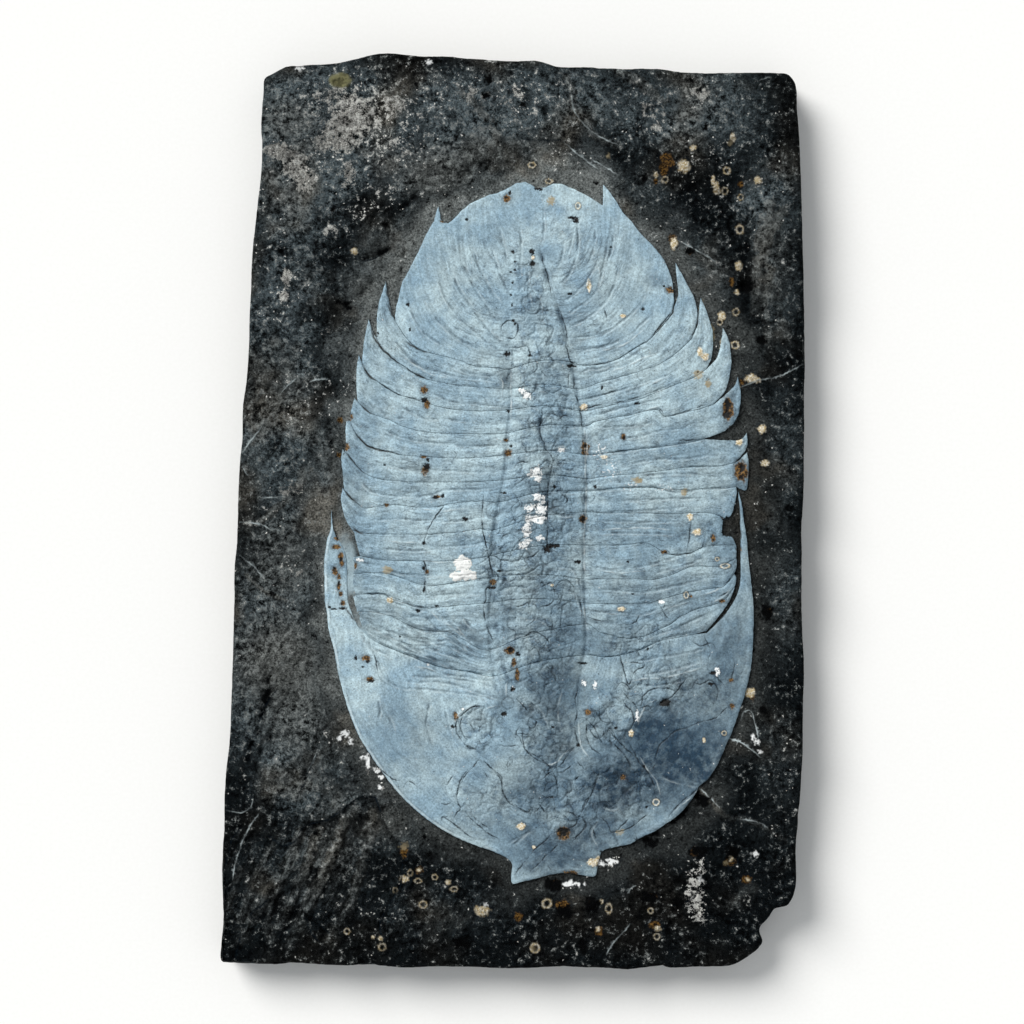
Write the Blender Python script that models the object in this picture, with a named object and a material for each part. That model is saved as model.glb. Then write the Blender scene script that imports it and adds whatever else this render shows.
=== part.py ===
"""A large flattened trilobite on the slab of mudstone that it was found in.

The slab lies flat on Z = 0 with its origin under the middle of its outline. +Y runs from the
animal's head to its tail, and +Z is the side that shows the fossil.

The outlines were read by eye from a straight view down on the slab, 1024 pixels wide and high.
outline_point() turns such a reading into metres, so every reading follows the slab's real length.
"""

import math

import bmesh
import bpy
from mathutils import Vector, geometry, noise

# Real sizes, in metres
SLAB_LENGTH = 0.3023  # along Y
SLAB_THICKNESS = 0.0160  # from the resting face to the top away from the fossil
HOLLOW_DEPTH = 0.0010  # the stone worked away around and under the fossil
HOLLOW_SLOPE = 0.0052  # the width of the slope down into it
LEDGE_DROP = 0.0012  # a bed of stone broken away at the corner by the head
GAP = 0.0003  # between touching solids
SHIELD_THICKNESS = 0.0013  # the plates at their thin outer edges
SPINE_THICKNESS = 0.0008  # the plates at the tips of their spines
AXIS_RISE = 0.0021  # the middle lobe above the side lobes
BAND_RISE = 0.0006  # the two bands along each side lobe above the furrow between them
TIP_WIDTH = 0.0005  # a spine's blunt tip
RIDGE_RISE = 0.0006  # the split surface's low ridges
RIDGE_HALF_WIDTH = 0.0030
BROAD_WAVE = 0.0007  # the split surface's slow waves, and its finer unevenness
BROAD_WAVES_PER_METRE = 16
FINE_WAVE = 0.0005
FINE_WAVES_PER_METRE = 60
SIDE_UNEVENNESS = 0.0005  # the broken sides
SIDE_WAVES_PER_METRE = 40
EDGE_MARGIN = 0.0020  # kept clear of inner points along the slab's top edge
SPINE_ROOT = 0.0200  # how far in from its tip a segment reaches full height
HEAD_SWELL = 0.0006  # the head's rise inwards from its margin
HEAD_SWELL_WIDTH = 0.0180
GLABELLA_SLOPE = 0.0060
GLABELLA_SHARE = 0.6  # of the axis's height
AXIS_RUN_OUT = 0.0160  # how far the axis's arch runs on into the head

# The view that the outlines were read from, in its pixels
VIEW_SLAB_TOP = 53.5
VIEW_SLAB_BOTTOM = 969.5
VIEW_CENTRE = Vector((512.5, 511.5))
METRES_PER_PIXEL = SLAB_LENGTH / (VIEW_SLAB_BOTTOM - VIEW_SLAB_TOP)

HOLLOW_FLOOR = SLAB_THICKNESS - HOLLOW_DEPTH
PLATE_BASE = HOLLOW_FLOOR + GAP

# The slab's outline, clockwise from its tail left corner
SLAB_OUTLINE = [
    (264, 78), (286, 66), (302, 65), (343, 61), (382, 53.5), (410, 54.5), (451, 56.5), (502, 60),
    (535, 60.5), (557, 66), (586, 66), (622, 69), (682, 72), (745, 72), (788, 73), (794, 78),
    (797, 87), (798, 112), (802, 214), (805, 316), (805.5, 360), (804, 440), (802, 534), (801.6, 595),
    (804.5, 670), (803, 713), (800, 801), (798, 825), (796, 852), (796, 881), (794, 893), (787, 905),
    (776, 909), (768, 919), (760, 930), (763, 941.5), (753, 953), (734, 965), (706, 967), (666, 966),
    (626, 969.5), (563, 967), (500, 969), (442, 967), (406, 968), (351, 966), (293, 964), (224, 964),
    (219.6, 961.5), (220.4, 945), (222.5, 913), (221, 881.5), (224, 825), (226, 768), (229.5, 738),
    (232, 670), (234, 601), (237, 521), (239.4, 464), (242.4, 409), (248.4, 350), (251, 275),
    (255, 224), (261, 169), (261, 128),
]

# The rim of the shallow hollow around the fossil, clockwise from the tail
HOLLOW_RIM = [
    (499, 156), (560, 153), (609, 162), (644, 203), (682, 243), (712, 277), (740, 320), (761, 371),
    (769, 440), (771, 510), (773, 580), (773, 650), (767, 706), (750, 752), (726, 797), (693, 836),
    (653, 866), (618, 891), (561, 905), (500, 907), (484, 876), (438, 856), (385, 816), (342, 765),
    (321, 713), (309, 656), (301, 590), (305, 529), (317, 469), (323, 424), (333, 379), (345, 321),
    (362, 268), (396, 225), (419, 188), (460, 173),
]

# The edge of the bed that broke away at the corner by the head's left side
BROKEN_LEDGE = [
    (224, 827), (244, 822), (267, 835), (284, 846), (299, 833), (305, 825), (320, 822), (335, 816),
    (347, 806), (358, 797), (376, 797), (384, 816), (396, 840), (402, 872), (388, 900), (381, 935),
    (378, 966.3),
]

# Low ridges of the split surface: three that fan over the broken corner, and folds and veins elsewhere
SLAB_RIDGES = [
    [(300, 836), (280, 876), (256, 920), (240, 944)],
    [(344, 822), (326, 866), (306, 912), (292, 944)],
    [(372, 826), (368, 876), (352, 930)],
    [(701, 790), (726, 817), (757, 823), (786, 842)],
    [(566, 80), (576, 112), (600, 136), (618, 145)],
    [(252, 444), (276, 412), (304, 378)],
    [(246, 700), (262, 724), (258, 760)],
    [(280, 250), (302, 286), (296, 330)],
]

# The tail shield's free margin, from the left end of its front edge over the spines to the right end
TAIL_MARGIN = [
    (395.3, 321), (395.6, 309), (398.7, 298), (402.5, 281), (411, 266), (422, 244), (430, 227.6),
    (434.5, 219), (438.5, 206), (441, 219), (448, 223.4), (455.5, 217), (471, 203), (497.6, 193),
    (517, 183), (527, 181.5), (536, 188), (545, 188), (553, 183.6), (564, 184.5), (588, 196), (602, 206),
    (602, 184.2), (609, 191), (622, 211), (641, 234), (655, 248), (664, 259.5), (672.4, 281),
    (674.3, 298), (673.7, 309),
]

# Seams across the body from the tail forwards: the tail's front edge, then each segment's. Each seam is
# a left run towards the axis and a right run away from it
SEAMS = [
    ([(395.3, 321), (403, 333.5), (412, 344), (424, 351), (447, 357), (475, 366), (509, 369)],
     [(572, 362), (580, 365), (600, 364.5), (625, 355), (648, 341), (661.6, 327), (673.7, 309)]),
    ([(376.5, 338), (383, 350), (392, 358), (415, 374), (445, 383), (480, 387), (510, 389)],
     [(578, 389), (600, 382.5), (640, 371), (656, 365.5), (682, 348), (692, 338), (698, 318)]),
    ([(362, 362), (370, 375.5), (380, 383.5), (400, 395), (427, 403), (450, 409), (510, 410)],
     [(581, 411), (600, 408), (640, 399), (660, 391), (685, 381), (697, 376), (706.7, 369)]),
    ([(357.5, 401), (368, 411), (390, 420), (402, 426), (420, 431), (460, 433.5), (508, 433)],
     [(583, 427), (610, 418.5), (645, 411), (664, 415), (680, 413), (700, 409), (713.7, 404.4)]),
    ([(350, 421), (355, 432), (362, 441), (380, 449.5), (402, 455), (450, 458), (506, 455)],
     [(585, 455), (607, 453), (640, 449), (660, 447), (680, 444), (692, 442), (704, 439)]),
    ([(345, 452), (352, 460), (366, 474), (380, 479), (412, 482), (460, 482), (504, 480)],
     [(586, 479), (610, 476), (640, 473), (680, 468), (705, 466.5), (722, 465.5), (735, 462.7)]),
    ([(344, 489.5), (350, 497), (364, 508), (385, 505.5), (420, 507), (455, 503), (500, 502)],
     [(585, 491), (620, 488), (650, 487.5), (690, 490), (715, 488.3), (728, 488), (736, 486.5)]),
    ([(352, 530), (357, 532), (363, 533.5), (400, 534), (440, 533), (470, 531), (494, 530)],
     [(584, 512), (605, 513), (640, 514), (680, 514.5), (697, 512.5), (716, 515), (728, 520)]),
    ([(360, 556), (372, 559), (385, 560), (420, 561), (450, 561), (470, 559), (490, 556)],
     [(583, 545), (620, 545), (645, 544), (668, 554), (690, 553), (715, 545.5), (736, 545)]),
    ([(353, 574), (372, 573), (388, 575), (405, 579), (420, 584), (450, 583), (487, 579)],
     [(583, 578), (610, 579), (650, 580), (680, 571), (700, 566), (722, 565.5), (736, 558)]),
    ([(353, 595), (366, 594), (383, 594), (405, 603), (428, 608), (455, 606), (487, 603)],
     [(584, 602), (610, 604), (645, 603), (670, 597), (700, 590), (722, 588), (734, 574)]),
    ([(357, 612), (380, 613), (395, 618), (415, 628), (435, 631), (462, 640), (489, 650)],
     [(585, 627), (612, 634), (640, 637), (670, 624.5), (700, 608), (724, 600), (735, 586)]),
    ([(364, 630), (374, 641), (385, 648), (402, 656), (430, 666), (462, 672), (494, 677)],
     [(586, 650), (612, 654), (640, 650), (662, 641), (680, 637), (695, 634), (706.5, 631)]),
]

# Each segment's free ends from the tail forwards: on each side the spine's inner edge out from the seam
# behind it, up to the tip, and its outer edge from the tip down to the seam before it
LEFT_ENDS = [
    ([(395.3, 321), (389.5, 303), (387, 289)], (385.7, 281), [(381, 295), (377, 314), (376.5, 338)]),
    ([(376.5, 338), (373.6, 333), (371, 326)], (369, 318.7), [(366, 330), (363.6, 345), (362, 362)]),
    ([(362, 362), (361, 360), (360, 358)], (358.9, 354.4), [(356.6, 368), (356.3, 388), (357.5, 401)]),
    ([(357.5, 401), (356.5, 400), (355.5, 399)], (354.4, 398), [(352.4, 405), (350.6, 413), (350, 421)]),
    ([(350, 421), (349, 420.5), (348, 420)], (346.5, 419.5), [(345.6, 429), (345.8, 443), (345, 452)]),
    ([(345, 452), (344.4, 451), (343.7, 450)], (342.5, 449), [(341.3, 459), (342.6, 473), (344, 489.5)]),
    ([(344, 489.5), (343.6, 489), (343.2, 488.5)], (342.6, 488), [(341, 500), (345, 518), (352, 530)]),
    ([(352, 530), (353, 531), (353.5, 532)], (354, 533), [(355.5, 539), (357.5, 547), (360, 556)]),
    ([(360, 556), (358, 556.4), (356, 556.8)], (354, 557), [(353, 563), (353, 568), (353, 574)]),
    ([(353, 574), (352.8, 574.4), (352.6, 574.8)], (352.4, 575.4), [(352.2, 582), (352.3, 588), (353, 595)]),
    ([(353, 595), (353, 595.6), (353, 596)], (353, 596.6), [(353.6, 602), (355, 607), (357, 612)]),
    ([(357, 612), (357.4, 613), (357.8, 614)], (358.2, 615), [(359.5, 621), (361.5, 626), (364, 630)]),
]
RIGHT_ENDS = [
    ([(673.7, 309), (677.8, 293), (677, 278)], (675.4, 262.7), [(686, 282), (695, 301), (698, 318)]),
    ([(698, 318), (698.6, 311), (699.5, 305)], (700.5, 298), [(710, 321), (713, 344), (706.7, 369)]),
    ([(706.7, 369), (717, 357), (721, 342)], (723, 328), [(731.5, 355), (728, 387), (713.7, 404.4)]),
    ([(713.7, 404.4), (727, 393), (734, 386)], (737.9, 377), [(740.7, 404), (729, 431), (704, 439)]),
    ([(704, 439), (722, 440), (740, 439.5)], (746.5, 433), [(747, 446), (741, 456.5), (735, 462.7)]),
    ([(735, 462.7), (740, 459), (744, 455)], (747, 452.4), [(748.6, 466), (747.4, 487), (736, 486.5)]),
    ([(736, 486.5), (736.4, 488), (736.7, 490)], (737, 492), [(735, 503), (732, 513), (728, 520)]),
    ([(728, 520), (726, 520.3), (724.5, 520.6)], (723, 521), [(723, 534), (732, 537), (736, 545)]),
    ([(736, 545), (736.3, 546), (736.5, 547)], (736.7, 548), [(736.8, 551), (736.5, 554), (736, 558)]),
    ([(736, 558), (736.4, 558.6), (736.7, 559.2)], (737, 560), [(736.8, 566), (735.8, 570), (734, 574)]),
    ([(734, 574), (734.8, 574.6), (735.4, 575.2)], (736, 576), [(736.3, 579), (736, 582), (735, 586)]),
    ([(735, 586), (734.8, 586.8), (734.6, 587.6)], (734.4, 588.4), [(730, 600), (720, 615), (706.5, 631)]),
]

# The axis of the thorax: its left and right edges at the head, then at the tail
AXIS_CORNERS = [(490, 690), (586, 690), (512, 365), (574, 365)]

# The head shield: the left spine's inner edge from its tip to the last seam, the right one from the
# seam to its tip, and the free margin back round the tongue to the left tip
HEAD_LEFT_INNER = [
    (331.6, 507), (333, 521), (336.5, 536), (342, 548), (346, 562), (347.5, 582), (348.5, 598),
    (353, 614), (358, 626), (364, 632),
]
HEAD_RIGHT_INNER = [
    (706.5, 633), (715, 625), (725, 614), (733.5, 602), (738.5, 590), (741, 577), (741.4, 557), (741.4, 540),
    (740.5, 520), (739.3, 504), (738.4, 491.2),
]
HEAD_MARGIN = [
    (738.4, 491.2), (742, 505.5), (746.6, 537), (750.7, 577), (753.8, 618), (752.6, 650), (745, 694),
    (738, 715), (727, 743), (715, 769), (699.5, 787), (686, 807), (667, 823), (640, 838), (615, 847),
    (602, 852), (598, 863), (595, 875), (578, 874.5), (551.4, 874.5), (521, 882), (512.7, 883),
    (510.8, 874), (510, 860), (494.6, 852), (473.6, 844.7), (448, 833), (423, 816), (402, 797),
    (385, 776), (370.5, 755), (359, 736), (349.4, 713), (341, 683), (335.7, 659), (328.6, 630),
    (325, 602), (324.2, 570), (327.6, 538), (330.2, 520), (331.6, 507),
]
GLABELLA = [
    (498, 694), (506, 712), (516, 732), (528, 753), (553, 768), (570, 753), (579, 738), (577, 716),
    (580, 694), (566, 680), (536, 680), (512, 684),
]

# The middle of the head's rear edge, and where its spines start to thin and end
HEAD_REAR = (540, 662)
GENAL_SPINE_ROOT = (324, 600)
GENAL_SPINE_TIP = (331, 500)

# Ridges on the head, each with its half width and height in metres
HEAD_RIDGES = [
    (0.0024, 0.0010, [(496, 704), (476, 706), (460, 716), (455, 730), (464, 744), (482, 749)]),
    (0.0026, 0.0010, [(586, 716), (596, 702), (614, 694), (630, 704), (634, 722), (620, 736)]),
    (0.0034, 0.0006, [(384, 672), (404, 685), (430, 690), (462, 692), (492, 698)]),
    (0.0030, 0.0007, [(600, 674), (628, 678), (660, 674), (690, 667), (716, 652), (732, 628)]),
    (0.0022, 0.0004, [(636, 760), (652, 738), (684, 722), (722, 714)]),
    (0.0022, 0.0004, [(480, 762), (462, 784), (456, 806), (448, 822)]),
    (0.0020, 0.0004, [(598, 770), (596, 790), (584, 812), (560, 838)]),
]

# The pole that the tail's ribs nest around, how far the front edge is from it sideways and forwards, how
# square the ribs' corners are, and how many ribs would reach from the pole to the front edge
TAIL_POLE = (538, 190)
TAIL_REACH = (132, 177)
TAIL_SQUARENESS = 3.4
TAIL_RIBS = 9
TAIL_FRONT = (540, 366)
TAIL_RIBS_END = (540, 250)
TAIL_REAR = (540, 205)

# Stations along each seam's left and right runs, over the axis, and along each free end
SEAM_STATIONS = 7
AXIS_STATIONS = 5
END_STATIONS = 4
BANDS_ACROSS = 4

# Rings of the slab's side, each with its height and how far it stands in from the outline, in metres
SIDE_RINGS = [
    (0.0, 0.0016), (0.0021, 0.0005), (0.0064, 0.0008), (0.0073, 0.0001), (0.0118, 0.0004), (0.0145, 0.0),
]
RIM_INSET = 0.0011  # the slab's top edge, worn round


def outline_point(reading):
    """Turn a reading in view pixels into metres in the slab's own frame."""
    return Vector((
        (reading[0] - VIEW_CENTRE.x) * METRES_PER_PIXEL,
        (VIEW_CENTRE.y - reading[1]) * METRES_PER_PIXEL,
    ))


def smooth_run(readings, stations):
    """Stations at even steps along a curve through the readings, in metres, ends included."""
    knots = [outline_point(reading) for reading in readings]
    knots = [2 * knots[0] - knots[1]] + knots + [2 * knots[-1] - knots[-2]]
    fine = []
    steps = 12
    for before, start, end, after in zip(knots, knots[1:], knots[2:], knots[3:]):
        for step in range(steps):
            t = step / steps
            fine.append(0.5 * (
                2 * start + (end - before) * t
                + (2 * before - 5 * start + 4 * end - after) * t ** 2
                + (3 * start - before - 3 * end + after) * t ** 3
            ))
    fine.append(knots[-2])
    lengths = [0.0]
    for first, second in zip(fine, fine[1:]):
        lengths.append(lengths[-1] + (second - first).length)
    run = []
    span = 0
    for station in range(stations):
        wanted = lengths[-1] * station / (stations - 1)
        while span < len(fine) - 2 and lengths[span + 1] < wanted:
            span += 1
        share = (wanted - lengths[span]) / (lengths[span + 1] - lengths[span])
        run.append(fine[span].lerp(fine[span + 1], min(1.0, max(0.0, share))))
    return run


def join_runs(*runs):
    """One line of points from runs that share their end points."""
    line = list(runs[0])
    for run in runs[1:]:
        line.extend(run[1:])
    return line


def inset_loop(loop, distance):
    """A clockwise loop moved inwards by a distance, corner by corner."""
    moved = []
    for index, point in enumerate(loop):
        back = (point - loop[index - 1]).normalized()
        ahead = (loop[(index + 1) % len(loop)] - point).normalized()
        along = (back + ahead).normalized()
        inwards = Vector((along.y, -along.x))
        moved.append(point + inwards * distance)
    return moved


def inside(point, loop):
    """Whether a point lies inside a loop."""
    found = False
    for first, second in zip(loop, loop[1:] + loop[:1]):
        if (first.y > point.y) != (second.y > point.y):
            crossing = first.x + (point.y - first.y) / (second.y - first.y) * (second.x - first.x)
            if point.x < crossing:
                found = not found
    return found


def distance_to_line(point, line):
    """The shortest distance from a point to an open line of points."""
    best = math.inf
    for first, second in zip(line, line[1:]):
        across = second - first
        share = (point - first).dot(across) / max(across.length_squared, 1e-12)
        nearest = first + across * min(1.0, max(0.0, share))
        best = min(best, (point - nearest).length)
    return best


def smoothstep(low, high, value):
    """0 below low, 1 above high, and a smooth rise between."""
    t = min(1.0, max(0.0, (value - low) / (high - low)))
    return t * t * (3 - 2 * t)


def make_material(name, colour, roughness):
    """A plain Principled material."""
    material = bpy.data.materials.new(name)
    material.use_nodes = True
    shader = material.node_tree.nodes["Principled BSDF"]
    shader.inputs["Base Color"].default_value = (*colour, 1.0)
    shader.inputs["Roughness"].default_value = roughness
    shader.inputs["Metallic"].default_value = 0.0
    return material


def make_object(name, vertices, faces, material):
    """An object with outward faces from points in metres."""
    mesh = bpy.data.meshes.new(name)
    mesh.from_pydata([tuple(vertex) for vertex in vertices], [], faces)
    shell = bmesh.new()
    shell.from_mesh(mesh)
    bmesh.ops.recalc_face_normals(shell, faces=shell.faces)
    shell.to_mesh(mesh)
    shell.free()
    mesh.materials.append(material)
    piece = bpy.data.objects.new(name, mesh)
    bpy.context.scene.collection.objects.link(piece)
    return piece


def relief_plate(name, outline, creases, loose, top_height, base_height, material):
    """A plate with an upright edge, a flat underside and a top that follows a height function.

    Creases are lines that the top's triangles must keep to, and loose points are met in between.
    """
    points = list(outline)
    edges = [(index, (index + 1) % len(outline)) for index in range(len(outline))]
    for crease in creases:
        start = len(points)
        points.extend(crease)
        edges.extend((start + index, start + index + 1) for index in range(len(crease) - 1))
    points.extend(loose)
    inside_only = 1
    flat, _, triangles, sources, _, _ = geometry.delaunay_2d_cdt(points, edges, [], inside_only, 1e-7)
    place = {}
    for index, origins in enumerate(sources):
        for origin in origins:
            place[origin] = index
    rim = [place[index] for index in range(len(outline))]
    vertices = [Vector((point.x, point.y, top_height(point))) for point in flat]
    faces = [tuple(triangle) for triangle in triangles]
    under = len(vertices)
    vertices.extend(Vector((flat[index].x, flat[index].y, base_height)) for index in rim)
    count = len(rim)
    faces.extend(
        (rim[index], rim[(index + 1) % count], under + (index + 1) % count, under + index)
        for index in range(count)
    )
    _, _, underside, _, _, _ = geometry.delaunay_2d_cdt(
        list(outline), edges[:count], [], inside_only, 1e-7
    )
    faces.extend(tuple(under + corner for corner in triangle) for triangle in underside)
    return make_object(name, vertices, faces, material)


def axis_arch(point, left, right):
    """How far a point is up the axis's arch, from 0 at its furrows to 1 on its crest."""
    across = (point.x - left) / (right - left)
    if not 0.0 < across < 1.0:
        return 0.0
    return math.sin(math.pi * across) ** 0.8


def body_axis(point):
    """The left and right edges of the axis at a point's place along the body."""
    head_left, head_right, tail_left, tail_right = (outline_point(reading) for reading in AXIS_CORNERS)
    share = min(1.0, max(0.0, (point.y - head_left.y) / (tail_left.y - head_left.y)))
    left = head_left.x + (tail_left.x - head_left.x) * share
    right = head_right.x + (tail_right.x - head_right.x) * share
    return left, right


def segment_seam(number):
    """A seam's stations from left to right, over a slightly arched axis."""
    left, right = SEAMS[number]
    left_run = smooth_run(left, SEAM_STATIONS)
    right_run = smooth_run(right, SEAM_STATIONS)
    middle = ((left[-1][0] + right[0][0]) / 2, (left[-1][1] + right[0][1]) / 2 - 4)
    axis_run = smooth_run([left[-1], middle, right[0]], AXIS_STATIONS)
    return left_run, axis_run, right_run


def make_segment(number, material):
    """One thoracic segment: a ring of the axis with a ribbed pleura and a free spine on each side."""
    behind = segment_seam(number)
    before = segment_seam(number + 1)
    left_inner, left_tip, left_outer = LEFT_ENDS[number]
    right_inner, right_tip, right_outer = RIGHT_ENDS[number]
    rear = join_runs(
        smooth_run([left_tip] + left_inner[::-1], END_STATIONS), *behind,
        smooth_run(right_inner + [right_tip], END_STATIONS),
    )
    front = join_runs(
        smooth_run([left_tip] + left_outer, END_STATIONS), *before,
        smooth_run(right_outer[::-1] + [right_tip], END_STATIONS),
    )
    last = len(rear) - 1
    vertices = []
    for index, (back, ahead) in enumerate(zip(rear, front)):
        across = ahead - back
        if index in (0, last):
            neighbour = 1 if index == 0 else last - 1
            across = (front[neighbour] - rear[neighbour]).normalized() * TIP_WIDTH
            middle = (back + ahead) / 2
            inwards = (rear[neighbour] + front[neighbour]) / 2 - middle
            middle = middle + inwards.normalized() * GAP
            back = middle - across / 2
            ahead = middle + across / 2
        else:
            margin = min(GAP / 2, across.length * 0.3)
            back = back + across.normalized() * margin
            ahead = ahead - across.normalized() * margin
        from_end = min((back - rear[0]).length, (back - rear[last]).length)
        fullness = smoothstep(0.0, SPINE_ROOT, from_end)
        for band in range(BANDS_ACROSS + 1):
            share = band / BANDS_ACROSS
            point = back.lerp(ahead, share)
            ridge = 0.5 - 0.5 * math.cos(4 * math.pi * share)
            arch = axis_arch(point, *body_axis(point))
            thickness = SPINE_THICKNESS + (SHIELD_THICKNESS - SPINE_THICKNESS) * fullness
            height = PLATE_BASE + thickness + AXIS_RISE * arch + BAND_RISE * ridge * (0.4 + 0.6 * fullness)
            vertices.append(Vector((point.x, point.y, height)))
    row = BANDS_ACROSS + 1
    top_count = len(vertices)
    for index in range(last + 1):
        for band in (0, BANDS_ACROSS):
            corner = vertices[index * row + band]
            vertices.append(Vector((corner.x, corner.y, PLATE_BASE)))
    faces = []
    for index in range(last):
        here = index * row
        there = here + row
        for band in range(BANDS_ACROSS):
            faces.append((here + band, there + band, there + band + 1, here + band + 1))
        under = top_count + index * 2
        faces.append((under, under + 1, under + 3, under + 2))
        faces.append((here, under, under + 2, there))
        faces.append((here + BANDS_ACROSS, there + BANDS_ACROSS, under + 3, under + 1))
    for index in (0, last):
        here = index * row
        under = top_count + index * 2
        faces.append([here + band for band in range(row)] + [under + 1, under])
    return make_object(f"thoracic_segment_{len(SEAMS) - 1 - number}", vertices, faces, material)


def tail_reach(point):
    """How far out a point is on the tail: 0 at its pole and 1 along its front edge."""
    pole = outline_point(TAIL_POLE)
    across = abs(point.x - pole.x) / (TAIL_REACH[0] * METRES_PER_PIXEL)
    ahead = abs(point.y - pole.y) / (TAIL_REACH[1] * METRES_PER_PIXEL)
    return (across ** TAIL_SQUARENESS + ahead ** TAIL_SQUARENESS) ** (1 / TAIL_SQUARENESS)


def tail_axis_half(point):
    """Half the width of the tail's axis, in pixels, wider towards the thorax."""
    ahead = (outline_point(TAIL_POLE).y - point.y) / METRES_PER_PIXEL
    return 12 + 20 * min(1.0, max(0.0, ahead / TAIL_REACH[1]))


def tail_height(point):
    """The tail's relief: an axis that fades to the rear, and nested ribs that die out at the margin."""
    off_axis = abs(point.x - outline_point(TAIL_POLE).x) / METRES_PER_PIXEL
    half = tail_axis_half(point)
    rear_fade = smoothstep(outline_point(TAIL_FRONT).y, outline_point(TAIL_REAR).y, point.y)
    arch = max(0.0, 1 - (off_axis / half) ** 2) ** 0.6 * (1 - 0.85 * rear_fade)
    reach = tail_reach(point)
    fade = smoothstep(half * 0.9, half * 1.3, off_axis) * (1 - smoothstep(60, 118, off_axis))
    fade *= 1 - smoothstep(outline_point(TAIL_RIBS_END).y, outline_point(TAIL_REAR).y, point.y)
    rib = 0.5 + 0.5 * math.cos(2 * math.pi * reach * TAIL_RIBS)
    return PLATE_BASE + SHIELD_THICKNESS + AXIS_RISE * arch + BAND_RISE * rib * fade


def make_tail(material):
    """The tail shield, one fused plate with two short spines on its margin."""
    margin = [outline_point(reading) for reading in TAIL_MARGIN]
    shift = Vector((0.0, GAP / 2))
    front = [point + shift for point in reversed(join_runs(*segment_seam(0)))]
    outline = inset_loop(margin[:-1] + front[:-1], GAP / 2)
    closed = outline + outline[:1]
    pole = outline_point(TAIL_POLE)
    creases = []
    power = 2 / TAIL_SQUARENESS
    for level in range(TAIL_RIBS, 2 * TAIL_RIBS):
        reach = level / TAIL_RIBS / 2
        for side in (-1, 1):
            crease = []
            for step in range(10):
                angle = math.radians(8 + step * 9)
                point = pole + METRES_PER_PIXEL * reach * Vector((
                    side * TAIL_REACH[0] * math.cos(angle) ** power,
                    -TAIL_REACH[1] * math.sin(angle) ** power,
                ))
                off_axis = abs(point.x - pole.x) / METRES_PER_PIXEL
                clear = distance_to_line(point, closed) > 0.0014
                if clear and inside(point, outline) and off_axis > tail_axis_half(point) * 1.15:
                    crease.append(point)
            if len(crease) > 1:
                creases.append(crease)
    for column in (-1.0, -0.5, 0.0, 0.5, 1.0):
        crease = []
        for row in range(9):
            point = outline_point((0, 212 + row * 17))
            point.x = pole.x + column * tail_axis_half(point) * METRES_PER_PIXEL
            if distance_to_line(point, closed) > 0.0012:
                crease.append(point)
        creases.append(crease)
    return relief_plate("pygidium", outline, creases, [], tail_height, PLATE_BASE, material)


def head_height(point):
    """The head's relief: a raised glabella, ridges round both eyes and along the rear, and a margin rim."""
    margin = [outline_point(reading) for reading in HEAD_MARGIN]
    glabella = [outline_point(reading) for reading in GLABELLA]
    from_margin = distance_to_line(point, margin)
    rise = HEAD_SWELL * smoothstep(0.0, HEAD_SWELL_WIDTH, from_margin)
    dome = 0.0
    if inside(point, glabella):
        from_edge = distance_to_line(point, glabella + glabella[:1])
        dome = GLABELLA_SHARE * smoothstep(0.0, GLABELLA_SLOPE, from_edge)
    past_seam = outline_point(HEAD_REAR).y - point.y
    arch = axis_arch(point, *body_axis(point)) * (1 - smoothstep(0.0, AXIS_RUN_OUT, past_seam))
    rise += AXIS_RISE * max(dome, arch)
    for half_width, ridge_height, readings in HEAD_RIDGES:
        away = distance_to_line(point, [outline_point(reading) for reading in readings])
        rise += ridge_height * (1 - smoothstep(0.0, half_width, away))
    thin = smoothstep(outline_point(GENAL_SPINE_ROOT).y, outline_point(GENAL_SPINE_TIP).y, point.y)
    thickness = SHIELD_THICKNESS + (SPINE_THICKNESS - SHIELD_THICKNESS) * thin
    return PLATE_BASE + thickness + rise


def beside_line(line, distance):
    """A line's points moved to one side of it."""
    moved = []
    for index, point in enumerate(line):
        along = line[min(index + 1, len(line) - 1)] - line[max(index - 1, 0)]
        along.normalize()
        moved.append(point + Vector((along.y, -along.x)) * distance)
    return moved


def make_head(material):
    """The head shield, with its genal spines and the tongue at its front."""
    margin = [outline_point(reading) for reading in HEAD_MARGIN]
    shift = Vector((0.0, -GAP))
    rear = [point + shift for point in join_runs(*segment_seam(len(SEAMS) - 1))]
    inner_left = smooth_run(HEAD_LEFT_INNER, 13)
    inner_right = smooth_run(HEAD_RIGHT_INNER, 13)
    outline = inner_left[:-1] + rear + inner_right[1:] + margin[1:-1]
    closed = outline + outline[:1]
    glabella = [outline_point(reading) for reading in GLABELLA]
    loose = glabella + inset_loop(glabella, 0.003) + inset_loop(glabella, 0.006)
    for half_width, _, readings in HEAD_RIDGES:
        crest = smooth_run(readings, 9)
        loose += crest + beside_line(crest, half_width) + beside_line(crest, -half_width)
    loose = [point for point in loose if inside(point, outline) and distance_to_line(point, closed) > 0.0012]
    spacing = 0.0060
    for row in range(-24, 24):
        for column in range(-14, 15):
            point = Vector(((column + 0.5 * (row % 2)) * spacing, row * spacing * 0.87 - 0.06))
            clear = all((point - other).length > spacing * 0.6 for other in loose)
            if clear and inside(point, outline) and distance_to_line(point, closed) > 0.0025:
                loose.append(point)
    return relief_plate("cephalon", outline, [], loose, head_height, PLATE_BASE, material)


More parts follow.
